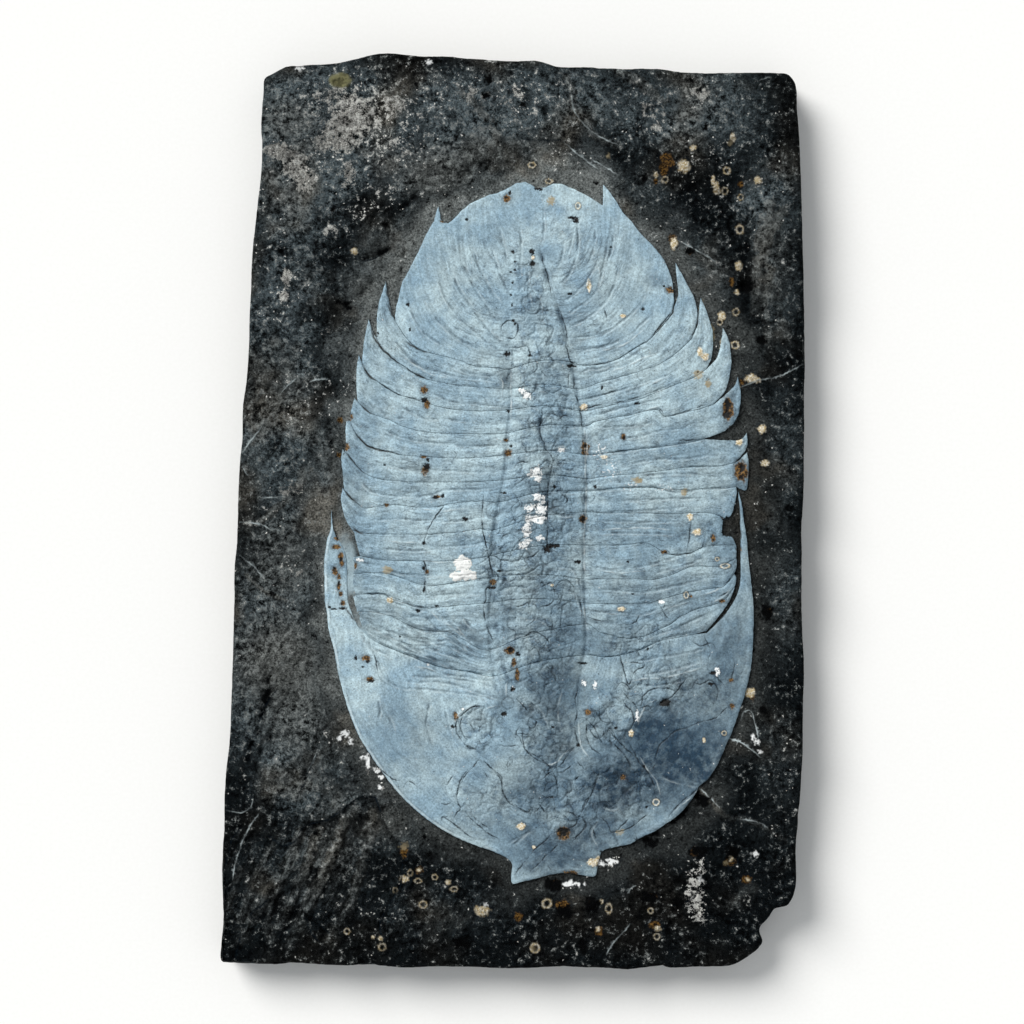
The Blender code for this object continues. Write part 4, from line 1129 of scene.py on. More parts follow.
def solid(name, outline, sheet_of, points, rings, material):
    """A closed piece: a top from a sheet, and sides that step down through rings of (height, inset)."""
    flat, faces, rim = join(outline, points)
    sheet = sheet_of(flat)
    vertices = [np.column_stack([flat, sheet["height"]])]
    faces = [tuple(face) for face in faces]
    upper = np.array(rim)
    count = len(outline)
    total = len(flat)
    inwards = shrink(outline, 1.0) - outline
    for height, inset in rings:
        ring = outline + inwards * np.reshape(inset, (-1, 1))
        vertices.append(np.column_stack([ring, np.broadcast_to(height, count)]))
        lower = np.arange(total, total + count)
        faces += list(zip(upper, np.roll(upper, -1), np.roll(lower, -1), lower))
        upper = lower
        total += count
    _, under_faces, under_rim = join(vertices[-1][:, :2], np.zeros((0, 2)))
    matched = dict(zip(under_rim, upper))
    faces += [tuple(matched[corner] for corner in face[::-1]) for face in under_faces]
    mesh = bpy.data.meshes.new(name)
    mesh.from_pydata((np.vstack(vertices) * 0.001).tolist(), [], faces)
    for stain in sheet["maps"]:
        values = np.zeros(total, np.float32)
        values[:len(flat)] = sheet[stain]
        if stain in ("level", "tone", "crush", "brown", "dashes", "lined"):
            values[len(flat):] = np.tile(sheet[stain][rim], len(rings))
        if stain in ("level", "side"):
            values[len(flat):] = np.maximum(values[len(flat):], {"level": 0.24, "side": 1.0}[stain])
        mesh.attributes.new(stain, "FLOAT", "POINT").data.foreach_set("value", values)
    if "flow" in sheet:
        flow = np.zeros((total, 3), np.float32)
        flow[:len(flat)] = sheet["flow"]
        mesh.attributes.new("flow", "FLOAT_VECTOR", "POINT").data.foreach_set("vector", flow.ravel())
    mesh.materials.append(material)
    mesh.shade_smooth()
    piece = bpy.data.objects.new(name, mesh)
    bpy.context.scene.collection.objects.link(piece)
    mesh.calc_loop_triangles()
    print(name, "faces:", len(mesh.loop_triangles))
    return piece


print("ready to build")

# %% [markdown]
# ## Materials
#
# Both materials are stone, and neither shines. The colours are sRGB hex values, turned to the linear values
# that the renderer works in by one function.

# %% Node helpers


def linear(text):
    """An sRGB hex colour as linear red, green, blue and alpha."""
    channels = [int(text[start:start + 2], 16) / 255 for start in (1, 3, 5)]
    return [c / 12.92 if c <= 0.04045 else ((c + 0.055) / 1.055) ** 2.4 for c in channels] + [1.0]


def add_node(tree, kind, sockets=None, out=0, **settings):
    """A node with its settings, and a value or a link for each socket. Gives one output, or the node."""
    node = tree.nodes.new("ShaderNode" + kind)
    for name, setting in settings.items():
        setattr(node, name, setting)
    for socket, source in (sockets or {}).items():
        if isinstance(source, bpy.types.NodeSocket):
            tree.links.new(source, node.inputs[socket])
        else:
            node.inputs[socket].default_value = source
    return node if out is None else node.outputs[out]


print("mid grey is", round(linear("#808080")[0], 3))

# %% [markdown]
# ### The film: pale mineral pressed over mudstone
#
# What is left of the shell is a film of pale blue-grey mineral, cleaned by air abrasion. It is matt like
# unglazed porcelain, with a faint silk where the cleaning has rubbed it. Its blue comes from the dark stone
# showing through. It turns a deeper blue in broad darker patches, and as painted shade in the hollows,
# along the axial furrows and towards the lower right. Fine wrinkles run along the segments, every 1.5
# mm or so, and where the shell is crushed it lies in chips of about 6 mm.

# %% Film material
FILM_LIGHT = linear("#B4CBD3")
FILM_MIDDLE = linear("#93AFBF")
FILM_BLUE = linear("#6287A6")
FILM_DEEP = linear("#20394C")
# The darkest blue-black is for dark lines, specks and dirt, and for painted shade in cracks, folds and
# creases.
DARK_MARK_AND_SHADE = linear("#121D26")
CHIP_SIZE = 6.0  # mm
# Pale is the colour of veins, and of painted highlight on ridges, lips and the head's rim; the darkest is
# dirt and painted shade.
STAIN_AND_LIGHT_COLOURS = {
    "olive": linear("#8F8D68"), "film": linear("#A9C0CA"), "pale": linear("#D2DFE2"),
    "ochre": linear("#A39678"), "white": linear("#F7FAFA"),
    "dark_marks_and_shade": DARK_MARK_AND_SHADE, "earth": linear("#3C3D3C"), "black": linear("#070809"),
}


def crushed(tree, base, maps, wrinkle, blotch, bent):
    """Chips, hairlines and cracks over a base colour. Gives the colour, the chips and the dark lines."""
    # Chips: crushed shell lies in flat chips, each with its own tone and height, and cracks between them
    chips = add_node(tree, "TexVoronoi", {"Scale": 1000 / CHIP_SIZE, "Vector": bent}, out="Color")
    chip = add_node(tree, "SeparateColor", {0: chips})
    chip = add_node(tree, "Mix", {2: 0.5, 0: maps["crush"], 3: chip})
    shift = add_node(tree, "MapRange", {"To Min": 0.80, "To Max": 1.20, "Value": chip})
    base = add_node(tree, "VectorMath", {0: base, 1: shift}, operation="MULTIPLY")
    # Hairlines: contour lines of the wrinkle noise, at even steps of its value, and only in some patches
    middle = add_node(tree, "Math", {1: 0.045, 0: wrinkle}, operation="PINGPONG")
    hairline = add_node(tree, "MapRange",
                        {"From Max": 0.009, "To Min": 0.75, "To Max": 0.0, "Value": middle})
    often = add_node(tree, "MapRange", {"From Min": 0.44, "From Max": 0.56, "Value": blotch})
    hairline = add_node(tree, "Math", {0: hairline, 1: often}, operation="MULTIPLY")
    hairline = add_node(tree, "Math", {0: hairline, 1: maps["lined"]}, operation="MULTIPLY")
    patchy = add_node(tree, "MapRange", {"From Min": 0.44, "From Max": 0.54, "Value": blotch})
    cells = add_node(tree, "TexVoronoi", {"Scale": 1000 / CHIP_SIZE, "Vector": bent},
                     feature="DISTANCE_TO_EDGE")
    crackle = add_node(tree, "MapRange", {"From Max": 0.034, "To Min": 1.0, "To Max": 0.0, "Value": cells})
    crackle = add_node(tree, "Math", {0: crackle, 1: maps["crush"]}, operation="MULTIPLY")
    crackle = add_node(tree, "Math", {0: crackle, 1: patchy}, operation="MULTIPLY")
    lines = add_node(tree, "Math", {0: hairline, 1: crackle}, operation="MAXIMUM", use_clamp=True)
    base = add_node(tree, "Mix", {7: DARK_MARK_AND_SHADE, 0: lines, 6: base}, out=2, data_type="RGBA")
    return base, chip, lines


def specked(tree, base, bent):
    """Dark and bright grains over a base colour."""
    # Specks: a few cells hold a dark grain, and fewer hold a bright one
    for size, radius, share, colour in ((1.2, 0.16, 0.26, DARK_MARK_AND_SHADE), (1.2, 0.13, 0.06, STAIN_AND_LIGHT_COLOURS["white"])):
        specks = add_node(tree, "TexVoronoi", {"Scale": 1000 / size, "Vector": bent}, out=None)
        chosen = add_node(tree, "SeparateColor", {0: specks.outputs["Color"]})
        chosen = add_node(tree, "Math", {1: share, 0: chosen}, operation="LESS_THAN")
        speck = add_node(tree, "MapRange",
                         {"From Min": radius * 0.6, "From Max": radius * 1.2, "To Min": 0.75, "To Max": 0.0,
                          "Value": specks.outputs["Distance"]})
        speck = add_node(tree, "Math", {0: speck, 1: chosen}, operation="MULTIPLY")
        base = add_node(tree, "Mix", {7: colour, 0: speck, 6: base}, out=2, data_type="RGBA")
    return base


def film_material():
    """Pale mineral film, matt, with wrinkles along the segments."""
    material = bpy.data.materials.new("abraded_mineral_film")
    material.use_nodes = True
    tree = material.node_tree
    shader = tree.nodes["Principled BSDF"]
    shader.inputs["Metallic"].default_value = 0.0
    shader.inputs["IOR"].default_value = 1.5
    shader.inputs["Specular IOR Level"].default_value = 0.3
    position = add_node(tree, "TexCoord", out="Object")
    flow = add_node(tree, "Attribute", out="Vector", attribute_name="flow")
    maps = {name: add_node(tree, "Attribute", out="Fac", attribute_name=name) for name in FILM_MAPS}
    cloud = add_node(tree, "TexNoise", {"Scale": 1000 / 13, "Detail": 3.0, "Vector": position})
    mottle = add_node(tree, "TexNoise", {"Scale": 1000 / 3.4, "Detail": 5.0, "Roughness": 0.66,
                                         "Vector": position}, out=None)
    grain = add_node(tree, "TexNoise", {"Scale": 1000 / 0.6, "Detail": 3.0, "Roughness": 0.65,
                                        "Vector": position})
    stretched = add_node(tree, "VectorMath", {1: (1 / 12.0, 1 / 1.5, 1.0), 0: flow}, operation="MULTIPLY")
    wrinkle = add_node(tree, "TexNoise",
                       {"Scale": 1.0, "Detail": 5.0, "Roughness": 0.58, "Distortion": 0.25,
                        "Vector": stretched})
    blotch = mottle.outputs[0]
    bent = add_node(tree, "Mix", {0: 0.0032, 4: position, 5: mottle.outputs["Color"]}, out=1,
                    data_type="VECTOR")

    lightness = add_node(tree, "MapRange", {"From Min": 0.38, "From Max": 0.62, "Value": cloud})
    base = add_node(tree, "Mix", {6: FILM_MIDDLE, 7: FILM_LIGHT, 0: lightness}, out=2, data_type="RGBA")
    hollow = add_node(tree, "MapRange", {"From Min": 0.50, "From Max": 0.66, "To Max": 0.45,
                                         "Value": blotch})
    spread = add_node(tree, "Math", {1: 0.45, 0: maps["crush"]}, operation="ADD")
    hollow = add_node(tree, "Math", {0: hollow, 1: spread}, operation="MULTIPLY")
    base = add_node(tree, "Mix", {7: FILM_BLUE, 0: hollow, 6: base}, out=2, data_type="RGBA")
    uneven = add_node(tree, "MapRange", {"From Min": 0.35, "From Max": 0.62, "To Min": 0.80,
                                         "To Max": 1.12, "Value": blotch})
    # Deep blue where the tone map is high: broad darker patches, and painted shade in hollows, along the
    # axial furrows and towards the lower right.
    depth = add_node(tree, "Math", {0: maps["tone"], 1: uneven}, operation="MULTIPLY", use_clamp=True)
    base = add_node(tree, "Mix", {7: FILM_DEEP, 0: depth, 6: base}, out=2, data_type="RGBA")
    for pattern, low, high, dark, light in (
        (wrinkle, 0.36, 0.64, 0.82, 1.12), (grain, 0.34, 0.66, 0.72, 1.28)
    ):
        shift = add_node(tree, "MapRange",
                         {"From Min": low, "From Max": high, "To Min": dark, "To Max": light,
                          "Value": pattern})
        base = add_node(tree, "VectorMath", {0: base, 1: shift}, operation="MULTIPLY")

    base, chip, lines = crushed(tree, base, maps, wrinkle, blotch, bent)
    base = specked(tree, base, bent)
    base = stains_and_painted_light(tree, base, maps, grain, blotch)
    tree.links.new(base, shader.inputs["Base Color"])
    rough = add_node(tree, "MapRange", {"From Min": 0.3, "From Max": 0.7, "To Min": 0.50, "To Max": 0.68,
                                        "Value": blotch})
    tree.links.new(rough, shader.inputs["Roughness"])
    sunk = add_node(tree, "Math", {1: -1.0, 0: lines}, operation="MULTIPLY")
    under = {}
    for height, reach in (
        (wrinkle, 0.00025), (blotch, 0.0006), (grain, 0.00014), (chip, 0.00022), (sunk, 0.00012)
    ):
        sockets = {"Strength": 0.6, "Distance": reach, "Height": height, **under}
        under = {"Normal": add_node(tree, "Bump", sockets)}
    tree.links.new(under["Normal"], shader.inputs["Normal"])
    return material


def stains_and_painted_light(tree, base, maps, grain, blotch):
    """The stains, painted shade and painted highlights that fossil and slab share, laid over a base colour.
    """
    rust = add_node(tree, "MapRange", {"From Min": 0.42, "From Max": 0.60, "Value": grain})
    shell = add_node(tree, "Mix", {6: linear("#BFAA7C"), 7: linear("#F3EEDF"), 0: rust}, out=2,
                     data_type="RGBA")
    rust = add_node(tree, "Mix", {6: linear("#1D1610"), 7: linear("#836234"), 0: rust}, out=2,
                    data_type="RGBA")
    torn = add_node(tree, "MapRange", {"From Min": 0.35, "From Max": 0.60, "To Min": 0.55, "Value": blotch})
    base = add_node(tree, "Mix", {0: maps["rust"], 6: base, 7: rust}, out=2, data_type="RGBA")
    base = add_node(tree, "Mix", {0: maps["cream"], 6: base, 7: shell}, out=2, data_type="RGBA")
    for stain, colour in STAIN_AND_LIGHT_COLOURS.items():
        amount = maps.get(stain)
        if amount is None:
            continue
        if stain in ("ochre", "pale", "dark_marks_and_shade"):
            amount = add_node(tree, "Math", {0: amount, 1: torn}, operation="MULTIPLY")
        base = add_node(tree, "Mix", {7: colour, 0: amount, 6: base}, out=2, data_type="RGBA")
    return base


film = film_material()
print("film nodes:", len(film.node_tree.nodes))

# %% [markdown]
# ### The slab: split mudstone
#
# Mudstone is clay pressed to rock. It splits along its bedding, and the split face is hackly, near black
# where fresh and brown-grey where weathered. It jumps from bed to bed, with short leaning dashes where it
# split across the bedding, and its sides show the beds as bands. Pale bloom lies on it in patches with torn
# edges, with flecks of light mineral and small black holes. Where tools worked round the fossil it is
# smooth and browner. Real mudstone grain is too fine to see, so the grain here is the 0.5 to 2 mm
# unevenness of the split face.

# %% Mudstone material


def sharp(tree, low, high, most, sources):
    """How far a weighted sum of patterns is past an edge, as a factor."""
    total = None
    for source, weight in sources:
        part = add_node(tree, "Math", {1: weight, 0: source}, operation="MULTIPLY")
        if total is not None:
            part = add_node(tree, "Math", {0: part, 1: total}, operation="ADD")
        total = part
    return add_node(tree, "MapRange",
                    {"From Min": low, "From Max": high, "To Max": most, "Value": total})


def mineral_flecks(tree, position, maps, busy):
    """Where a fleck lies, as a factor."""
    shaken = add_node(tree, "TexNoise", {"Scale": 1000 / 0.9, "Detail": 2.0, "Vector": position},
                      out="Color")
    # Flecks: a grain of light mineral in a few of many small cells, the more the higher the specks
    bent = add_node(tree, "Mix", {0: 0.0012, 4: position, 5: shaken}, out=1, data_type="VECTOR")
    cells = add_node(tree, "TexVoronoi", {"Scale": 1000 / 1.15, "Vector": bent}, out=None)
    chosen = add_node(tree, "SeparateColor", {0: cells.outputs["Color"]})
    share = sharp(tree, 0.0, 1.0, 1.0, [(maps["specks"], 0.55), (maps["bloom"], 0.16), (busy, 0.02)])
    chosen = add_node(tree, "Math", {0: chosen, 1: share}, operation="LESS_THAN")
    flecks = add_node(tree, "MapRange", {"From Min": 0.17, "From Max": 0.25, "To Min": 1.0, "To Max": 0.0,
                                         "Value": cells.outputs["Distance"]})
    flecks = add_node(tree, "Math", {0: flecks, 1: chosen}, operation="MULTIPLY")
    return flecks


def mudstone_material():
    """Split mudstone, matt, with bloom, flecks, small holes and rust."""
    material = bpy.data.materials.new("split_mudstone")
    material.use_nodes = True
    tree = material.node_tree
    shader = tree.nodes["Principled BSDF"]
    shader.inputs["Metallic"].default_value = 0.0
    shader.inputs["IOR"].default_value = 1.5
    shader.inputs["Specular IOR Level"].default_value = 0.02
    position = add_node(tree, "TexCoord", out="Object")
    maps = {name: add_node(tree, "Attribute", out="Fac", attribute_name=name) for name in STONE_MAPS}
    cloud, change, mottle, lace, grain = (
        add_node(tree, "TexNoise", {"Scale": 1000 / size, "Detail": detail, "Roughness": roughness,
                                    "Vector": position})
        for size, detail, roughness in (
            (24.0, 3.0, 0.5), (13.0, 4.0, 0.6), (7.0, 6.0, 0.62), (2.2, 5.0, 0.80), (0.6, 3.0, 0.68)
        )
    )
    natural = add_node(tree, "Math", {0: 1.0, 1: maps["worked"]}, operation="SUBTRACT")
    flank = add_node(tree, "Math", {1: 0.60, 0: maps["side"]}, operation="MULTIPLY")
    natural = add_node(tree, "Math", {0: natural, 1: flank}, operation="SUBTRACT")
    # Beds: on the sides the layers of mud show as thin level bands
    beds = add_node(tree, "VectorMath", {1: (1000 / 34.0, 1000 / 34.0, 1000 / 1.1), 0: position},
                    operation="MULTIPLY")
    beds = add_node(tree, "TexNoise", {"Scale": 1.0, "Detail": 4.0, "Roughness": 0.6, "Vector": beds})
    busy = add_node(tree, "MapRange", {"From Min": 0.44, "From Max": 0.56, "To Min": 0.30, "Value": change})
    busy = add_node(tree, "Math", {0: busy, 1: natural}, operation="MULTIPLY")
    # Steps: the split jumps between beds, so its height and its tone change along ragged contour lines
    bed = add_node(tree, "Math", {1: 0.036, 0: mottle}, operation="SNAP")
    tint = add_node(tree, "TexWhiteNoise", {"W": bed}, noise_dimensions="1D")

    warm = add_node(tree, "MapRange", {"From Min": 0.50, "From Max": 0.66, "Value": cloud})
    warm = add_node(tree, "Math", {0: warm, 1: maps["brown"]}, operation="MAXIMUM")
    dark, light = (
        add_node(tree, "Mix", {6: linear(cold), 7: linear(hot), 0: warm}, out=2, data_type="RGBA")
        for cold, hot in (("#05090C", "#0D0E0E"), ("#5F6B70", "#706F69"))
    )
    # Painted light: the base is lighter where the mottle, which is also the relief, stands high, and where
    # the level map is high; the level map holds painted light and shade.
    lightness_with_painted_light = add_node(tree, "MapRange", {"From Min": 0.36, "From Max": 0.64, "To Min": 0.52,
                                        "To Max": 1.18, "Value": mottle})
    lightness_with_painted_light = add_node(tree, "Math", {0: lightness_with_painted_light, 1: maps["level"]}, operation="MULTIPLY", use_clamp=True)
    base = add_node(tree, "Mix", {0: lightness_with_painted_light, 6: dark, 7: light}, out=2, data_type="RGBA")
    bloomed = sharp(tree, 0.680, 0.696, 0.90, [(mottle, 0.25), (lace, 0.75), (maps["bloom"], 0.29)])
    base = add_node(tree, "Mix", {7: linear("#A3A29D"), 0: bloomed, 6: base}, out=2, data_type="RGBA")
    # Dashes: where the split ran across the bedding it left short hackles, all leaning the same way
    leaning = add_node(tree, "VectorRotate", {"Angle": math.radians(-62), "Vector": position},
                       rotation_type="Z_AXIS")
    leaning = add_node(tree, "VectorMath", {1: (1000 / 5.0, 1000 / 1.0, 1000 / 5.0), 0: leaning},
                       operation="MULTIPLY")
    dashes = add_node(tree, "TexNoise", {"Scale": 1.0, "Detail": 4.0, "Roughness": 0.6, "Vector": leaning})
    for pattern, where, low, high, least, most in (
        (tint, natural, 0.0, 1.0, 0.72, 1.28), (lace, busy, 0.42, 0.58, 0.22, 2.00),
        (grain, None, 0.36, 0.64, 0.40, 1.80),
        (dashes, maps["dashes"], 0.36, 0.64, 0.30, 1.80), (beds, maps["side"], 0.36, 0.64, 0.45, 1.70),
    ):
        shift = add_node(tree, "MapRange",
                         {"From Min": low, "From Max": high, "To Min": least, "To Max": most,
                          "Value": pattern})
        if where is not None:
            shift = add_node(tree, "Mix", {2: 1.0, 0: where, 3: shift})
        base = add_node(tree, "VectorMath", {0: base, 1: shift}, operation="MULTIPLY")

    # Painted shade makes the holes, the lowest grains of the lace, black. The highest grains are frosted
    # pale and painted with highlight, the very highest white, and flecks are small and white
    frost_and_highlight = [(lace, 1.0), (maps["level"], 0.05), (busy, 0.02), (maps["worked"], -0.05), (flank, -0.05)]
    white = [(lace, 1.0), (maps["bloom"], 0.05), (maps["specks"], 0.15), (busy, 0.01), (flank, -0.10)]
    layers = (
        ("#020304", sharp(tree, -0.390, -0.370, 0.92, [(lace, -1.0), (busy, 0.030)])),
        ("#8B908F", sharp(tree, 0.600, 0.625, 0.75, frost_and_highlight)),
        ("#E4E4DF", sharp(tree, 0.664, 0.672, 0.95, white)),
        ("#F4F4F0", mineral_flecks(tree, position, maps, busy)),
    )
    for colour, amount in layers:
        base = add_node(tree, "Mix", {7: linear(colour), 0: amount, 6: base}, out=2, data_type="RGBA")
    base = stains_and_painted_light(tree, base, maps, grain, mottle)
    tree.links.new(base, shader.inputs["Base Color"])
    rough = add_node(tree, "MapRange", {"From Min": 0.3, "From Max": 0.7, "To Min": 0.50, "To Max": 0.75,
                                        "Value": grain})
    tree.links.new(rough, shader.inputs["Roughness"])
    under = {}
    for height, reach in ((bed, 0.0100), (mottle, 0.0042), (lace, 0.0026), (grain, 0.0006)):
        height = add_node(tree, "Math", {0: height, 1: natural}, operation="MULTIPLY")
        sockets = {"Strength": 0.8, "Distance": reach, "Height": height, **under}
        under = {"Normal": add_node(tree, "Bump", sockets)}
    tree.links.new(under["Normal"], shader.inputs["Normal"])
    return material


mudstone = mudstone_material()
print("mudstone nodes:", len(mudstone.node_tree.nodes))

# %% [markdown]
# ## The plates
#
# Every plate is the same film over the same stone, so one relief function serves them all. It raises the
# axis, lays the strokes, and adds the small unevenness of crushed shell. What differs is the flow: wrinkles
# run along a segment, nest like bowls in the tail, and follow the margin in the head.

# %% Film relief
AXIS_LEFT = read_points("""
512,240 510,300 510,371 511,410 507,440 505,473 500,500 492,545 490,600 490,640 496,690 520,740 548,775
""")
AXIS_RIGHT = read_points("""
538,240 556,300 572,362 576,385 581,411 585,440 587,479 586,512 584,545 584,579 585,603 586,640 578,690
577,740 554,775
""")
# where the shell is broken small: x, y, reach across, reach up, how much
CRUSHED = read_points("""
480,728,34,32,0.8 545,740,40,50,0.7 560,800,60,44,0.8 620,790,50,44,0.9 610,720,36,40,0.8
655,690,50,40,0.6 700,690,40,40,0.4 480,800,50,40,0.5 500,570,24,80,0.8 470,545,40,50,0.35
640,640,50,40,0.6 560,850,70,30,0.35 590,500,24,90,0.4 540,345,44,30,0.6 510,380,20,40,0.5
700,540,30,24,0.5 570,260,40,50,0.25 480,300,40,50,0.2 430,640,60,50,0.25 540,220,30,40,0.3
""")
axis_left = place(AXIS_LEFT)
axis_right = place(AXIS_RIGHT)


def patches(points, listed):
    """Soft patches added together, never above 1."""
    total = np.zeros(len(points))
    for x, y, across_reach, up_reach, amount in listed:
        away = np.hypot(*((points - place((x, y))) / (np.array((across_reach, up_reach)) * PIXEL)).T)
        total = 1 - (1 - total) * (1 - amount * (1 - rise(0.25, 1.15, away)))
    return total


def creases(points, size, seed, width=0.16):
    """Narrow valleys where noise crosses nothing, from 0 to 1."""
    return 1 - rise(0.0, width, np.abs(noise(points, size, seed, 2)))


def film_sheet(points, outline):
    """The relief and stains that every plate shares."""
    sheet = new_sheet(points, FILM_TOP, FILM_MAPS)
    left = np.interp(-points[:, 1], -axis_left[:, 1], axis_left[:, 0])
    right = np.interp(-points[:, 1], -axis_right[:, 1], axis_right[:, 0])
    across = np.clip((points[:, 0] - left) / (right - left), 0, 1)
    arch = np.sin(np.pi * across) ** 0.6
    arch *= 1 - rise(place((0, 300))[1], place((0, 215))[1], points[:, 1])
    arch *= rise(place((0, 778))[1], place((0, 690))[1], points[:, 1])
    sheet["height"] += AXIS_LIFT * arch
    sheet["crush"] = np.maximum(patches(points, CRUSHED), 0.75 * arch)
    for size, height in ((6.0, 0.12), (2.4, 0.06)):
        sheet["height"] += height * noise(points, size, int(size * 10)) * (1 + 1.5 * sheet["crush"])
    sheet["height"] += 0.30 * sheet["crush"] * noise(points, 9.0, 66, 2)
    # Crushed creases, sunk and darkened with dirt and painted shade.
    for size, depth, stain in ((6.5, 0.42, 0.85), (3.0, 0.24, 0.60), (1.4, 0.09, 0.25)):
        crease = creases(points, size, int(size * 7)) * rise(0.12, 0.75, sheet["crush"])
        sheet["height"] -= depth * crease
        stain_and_light_at(sheet, "dark_marks_and_shade", slice(None), stain * crease * rise(-0.3, 0.5, noise(points, 7.0, 90)))
    # Painted shade: the furrows beside the axis are sunk and darkened.
    for furrow in (axis_left[2:11], axis_right[2:13]):
        index, away, _ = measure(points, furrow, 2.4)
        deep = (1 - rise(0.0, 1.2, away)) * (0.6 + 0.6 * noise(points[index], 3.0, 77))
        sheet["height"][index] -= 0.50 * deep
        stain_and_light_at(sheet, "tone", index, 0.50 * deep)
    sheet["tone"] = 1 - (1 - sheet["tone"]) * (1 - patches(points, TONES))
    # Painted shade: the film darkens towards the lower right, away from the light.
    shadow_side = points @ (0.9, -0.45)
    sheet["tone"] = 1 - (1 - sheet["tone"]) * (1 - 0.42 * rise(0.0, 110.0, shadow_side))
    # Each plate drops a little along its edge and darkens there, for the gap between plates and painted
    # shade in it.
    away = distance(points, closed_line(outline), 1.2)
    along_edge = rise(-0.25, 0.6, noise(points, 5.0, 81)) * (0.6 + 0.4 * noise(points, 1.4, 82))
    sheet["height"] -= (0.10 + 0.20 * along_edge) * (1 - rise(0.0, 0.55, away))
    stain_and_light_at(sheet, "dark_marks_and_shade", slice(None), 0.60 * along_edge * (1 - rise(0.02, 0.30, away)))
    return sheet


def lay_drawing(sheet, strokes, spots):
    """All the strokes and spots that cross a plate."""
    for seed, (kind, line) in enumerate(strokes):
        lay_stroke(sheet, kind, line, seed)
    for seed, spot in enumerate(spots):
        lay_spot(sheet, spot, seed)


def crossing(outline, margin=1.0):
    """The strokes and spots that come near a plate."""
    low = outline.min(0) - margin
    high = outline.max(0) + margin
    strokes = [
        (kind, line) for kind, line in fossil_strokes
        if np.all(line.max(0) > low) and np.all(line.min(0) < high)
    ]
    spots = [
        spot for spot in FOSSIL_SPOTS if np.all(place(spot[:2]) > low) and np.all(place(spot[:2]) < high)
    ]
    return strokes, spots


def plate(name, spacing, relief):
    """Build a plate: its net, its relief and its drawing, under the root body in place of the packed part.
    """
    outline = outlines[name]
    strokes, spots = crossing(outline)
    spacing *= COARSE
    net = even_net(outline.min(0), outline.max(0), spacing, len(name))
    drawn = drawing_points(strokes, spots, 0.35)
    rim_lines = [shrink(outline, depth) for depth in (0.16, 0.36)]
    points = thin_out(np.vstack([drawn, *rim_lines, net]), spacing * 0.55)
    points = points[inside(points, outline)]
    points = points[distance(points, closed_line(outline), 0.5) > 0.11]

    def sheet_of(flat):
        sheet = film_sheet(flat, outline)
        relief(sheet)
        lay_drawing(sheet, strokes, spots)
        return sheet

    piece = solid(name + "_film", outline, sheet_of, points, [(FILM_BASE, 0.0)], film)
    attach(piece, "root")
    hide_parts(name)
    return piece


print("film relief is ready")

# %% [markdown]
# ### Segments
#
# A side lobe of a segment is two low bands with a furrow between them. Across a segment the height follows
# a cosine twice over, and dies out towards the spine.

# %% Segments
BAND_LIFT = 0.20
WRINKLED = read_points("425,650,90,46,1.0 470,630,40,40,0.6 660,620,60,30,0.5")


def segment_relief(number):
    """The bands and wrinkle flow of one segment."""
    rear, front = segment_lines[number]
    rear = rear[::3]
    front = front[::3]

    def relief(sheet):
        _, from_rear, along_rear = measure(sheet["points"], rear)
        _, from_front, along_front = measure(sheet["points"], front)
        share = from_rear / (from_rear + from_front + 1e-6)
        along = along_rear * (1 - share) + along_front * share
        width = from_rear + from_front
        sheet["height"] += BAND_LIFT * (0.5 - 0.5 * np.cos(4 * np.pi * share)) * rise(1.0, 6.0, width)
        curl = np.stack([along, share * 8.0], 1)
        crease = creases(curl, np.array((9.0, 1.5)), number + 40, 0.22)
        crease = crease * rise(-0.5, 0.3, noise(curl, 6.0, 95))
        fan = patches(sheet["points"], WRINKLED)
        long_crease = fan * creases(curl, np.array((24.0, 2.2)), number + 140, 0.26)
        wave = 0.06 * noise(curl, np.array((5.0, 1.3)), number + 40, 2) - 0.09 * crease
        sheet["height"] += (1 + 0.5 * fan) * wave - 0.26 * long_crease
        # Dirt and painted shade darken the creases.
        stain_and_light_at(sheet, "dark_marks_and_shade", slice(None), np.maximum(0.34 * crease, 0.62 * long_crease))
        sheet["flow"] = np.stack([along, share * width, np.full(len(share), number * 7.0)], 1)
        sheet["lined"][:] = 1.0

    return relief


for number in range(len(LEFT_ENDS)):
    plate(f"thoracic_segment_{12 - number}", 0.29, segment_relief(number))

# %% [markdown]
# ### Tail shield
#
# In the tail the segments are fused, and their ribs nest in the curve of its front edge. A squared ellipse
# round a pole near the rear margin follows them.

# %% Tail
TAIL_POLE = place((538, 190))
TAIL_REACH = np.array((132, 177)) * PIXEL
TAIL_SQUARENESS = 3.2


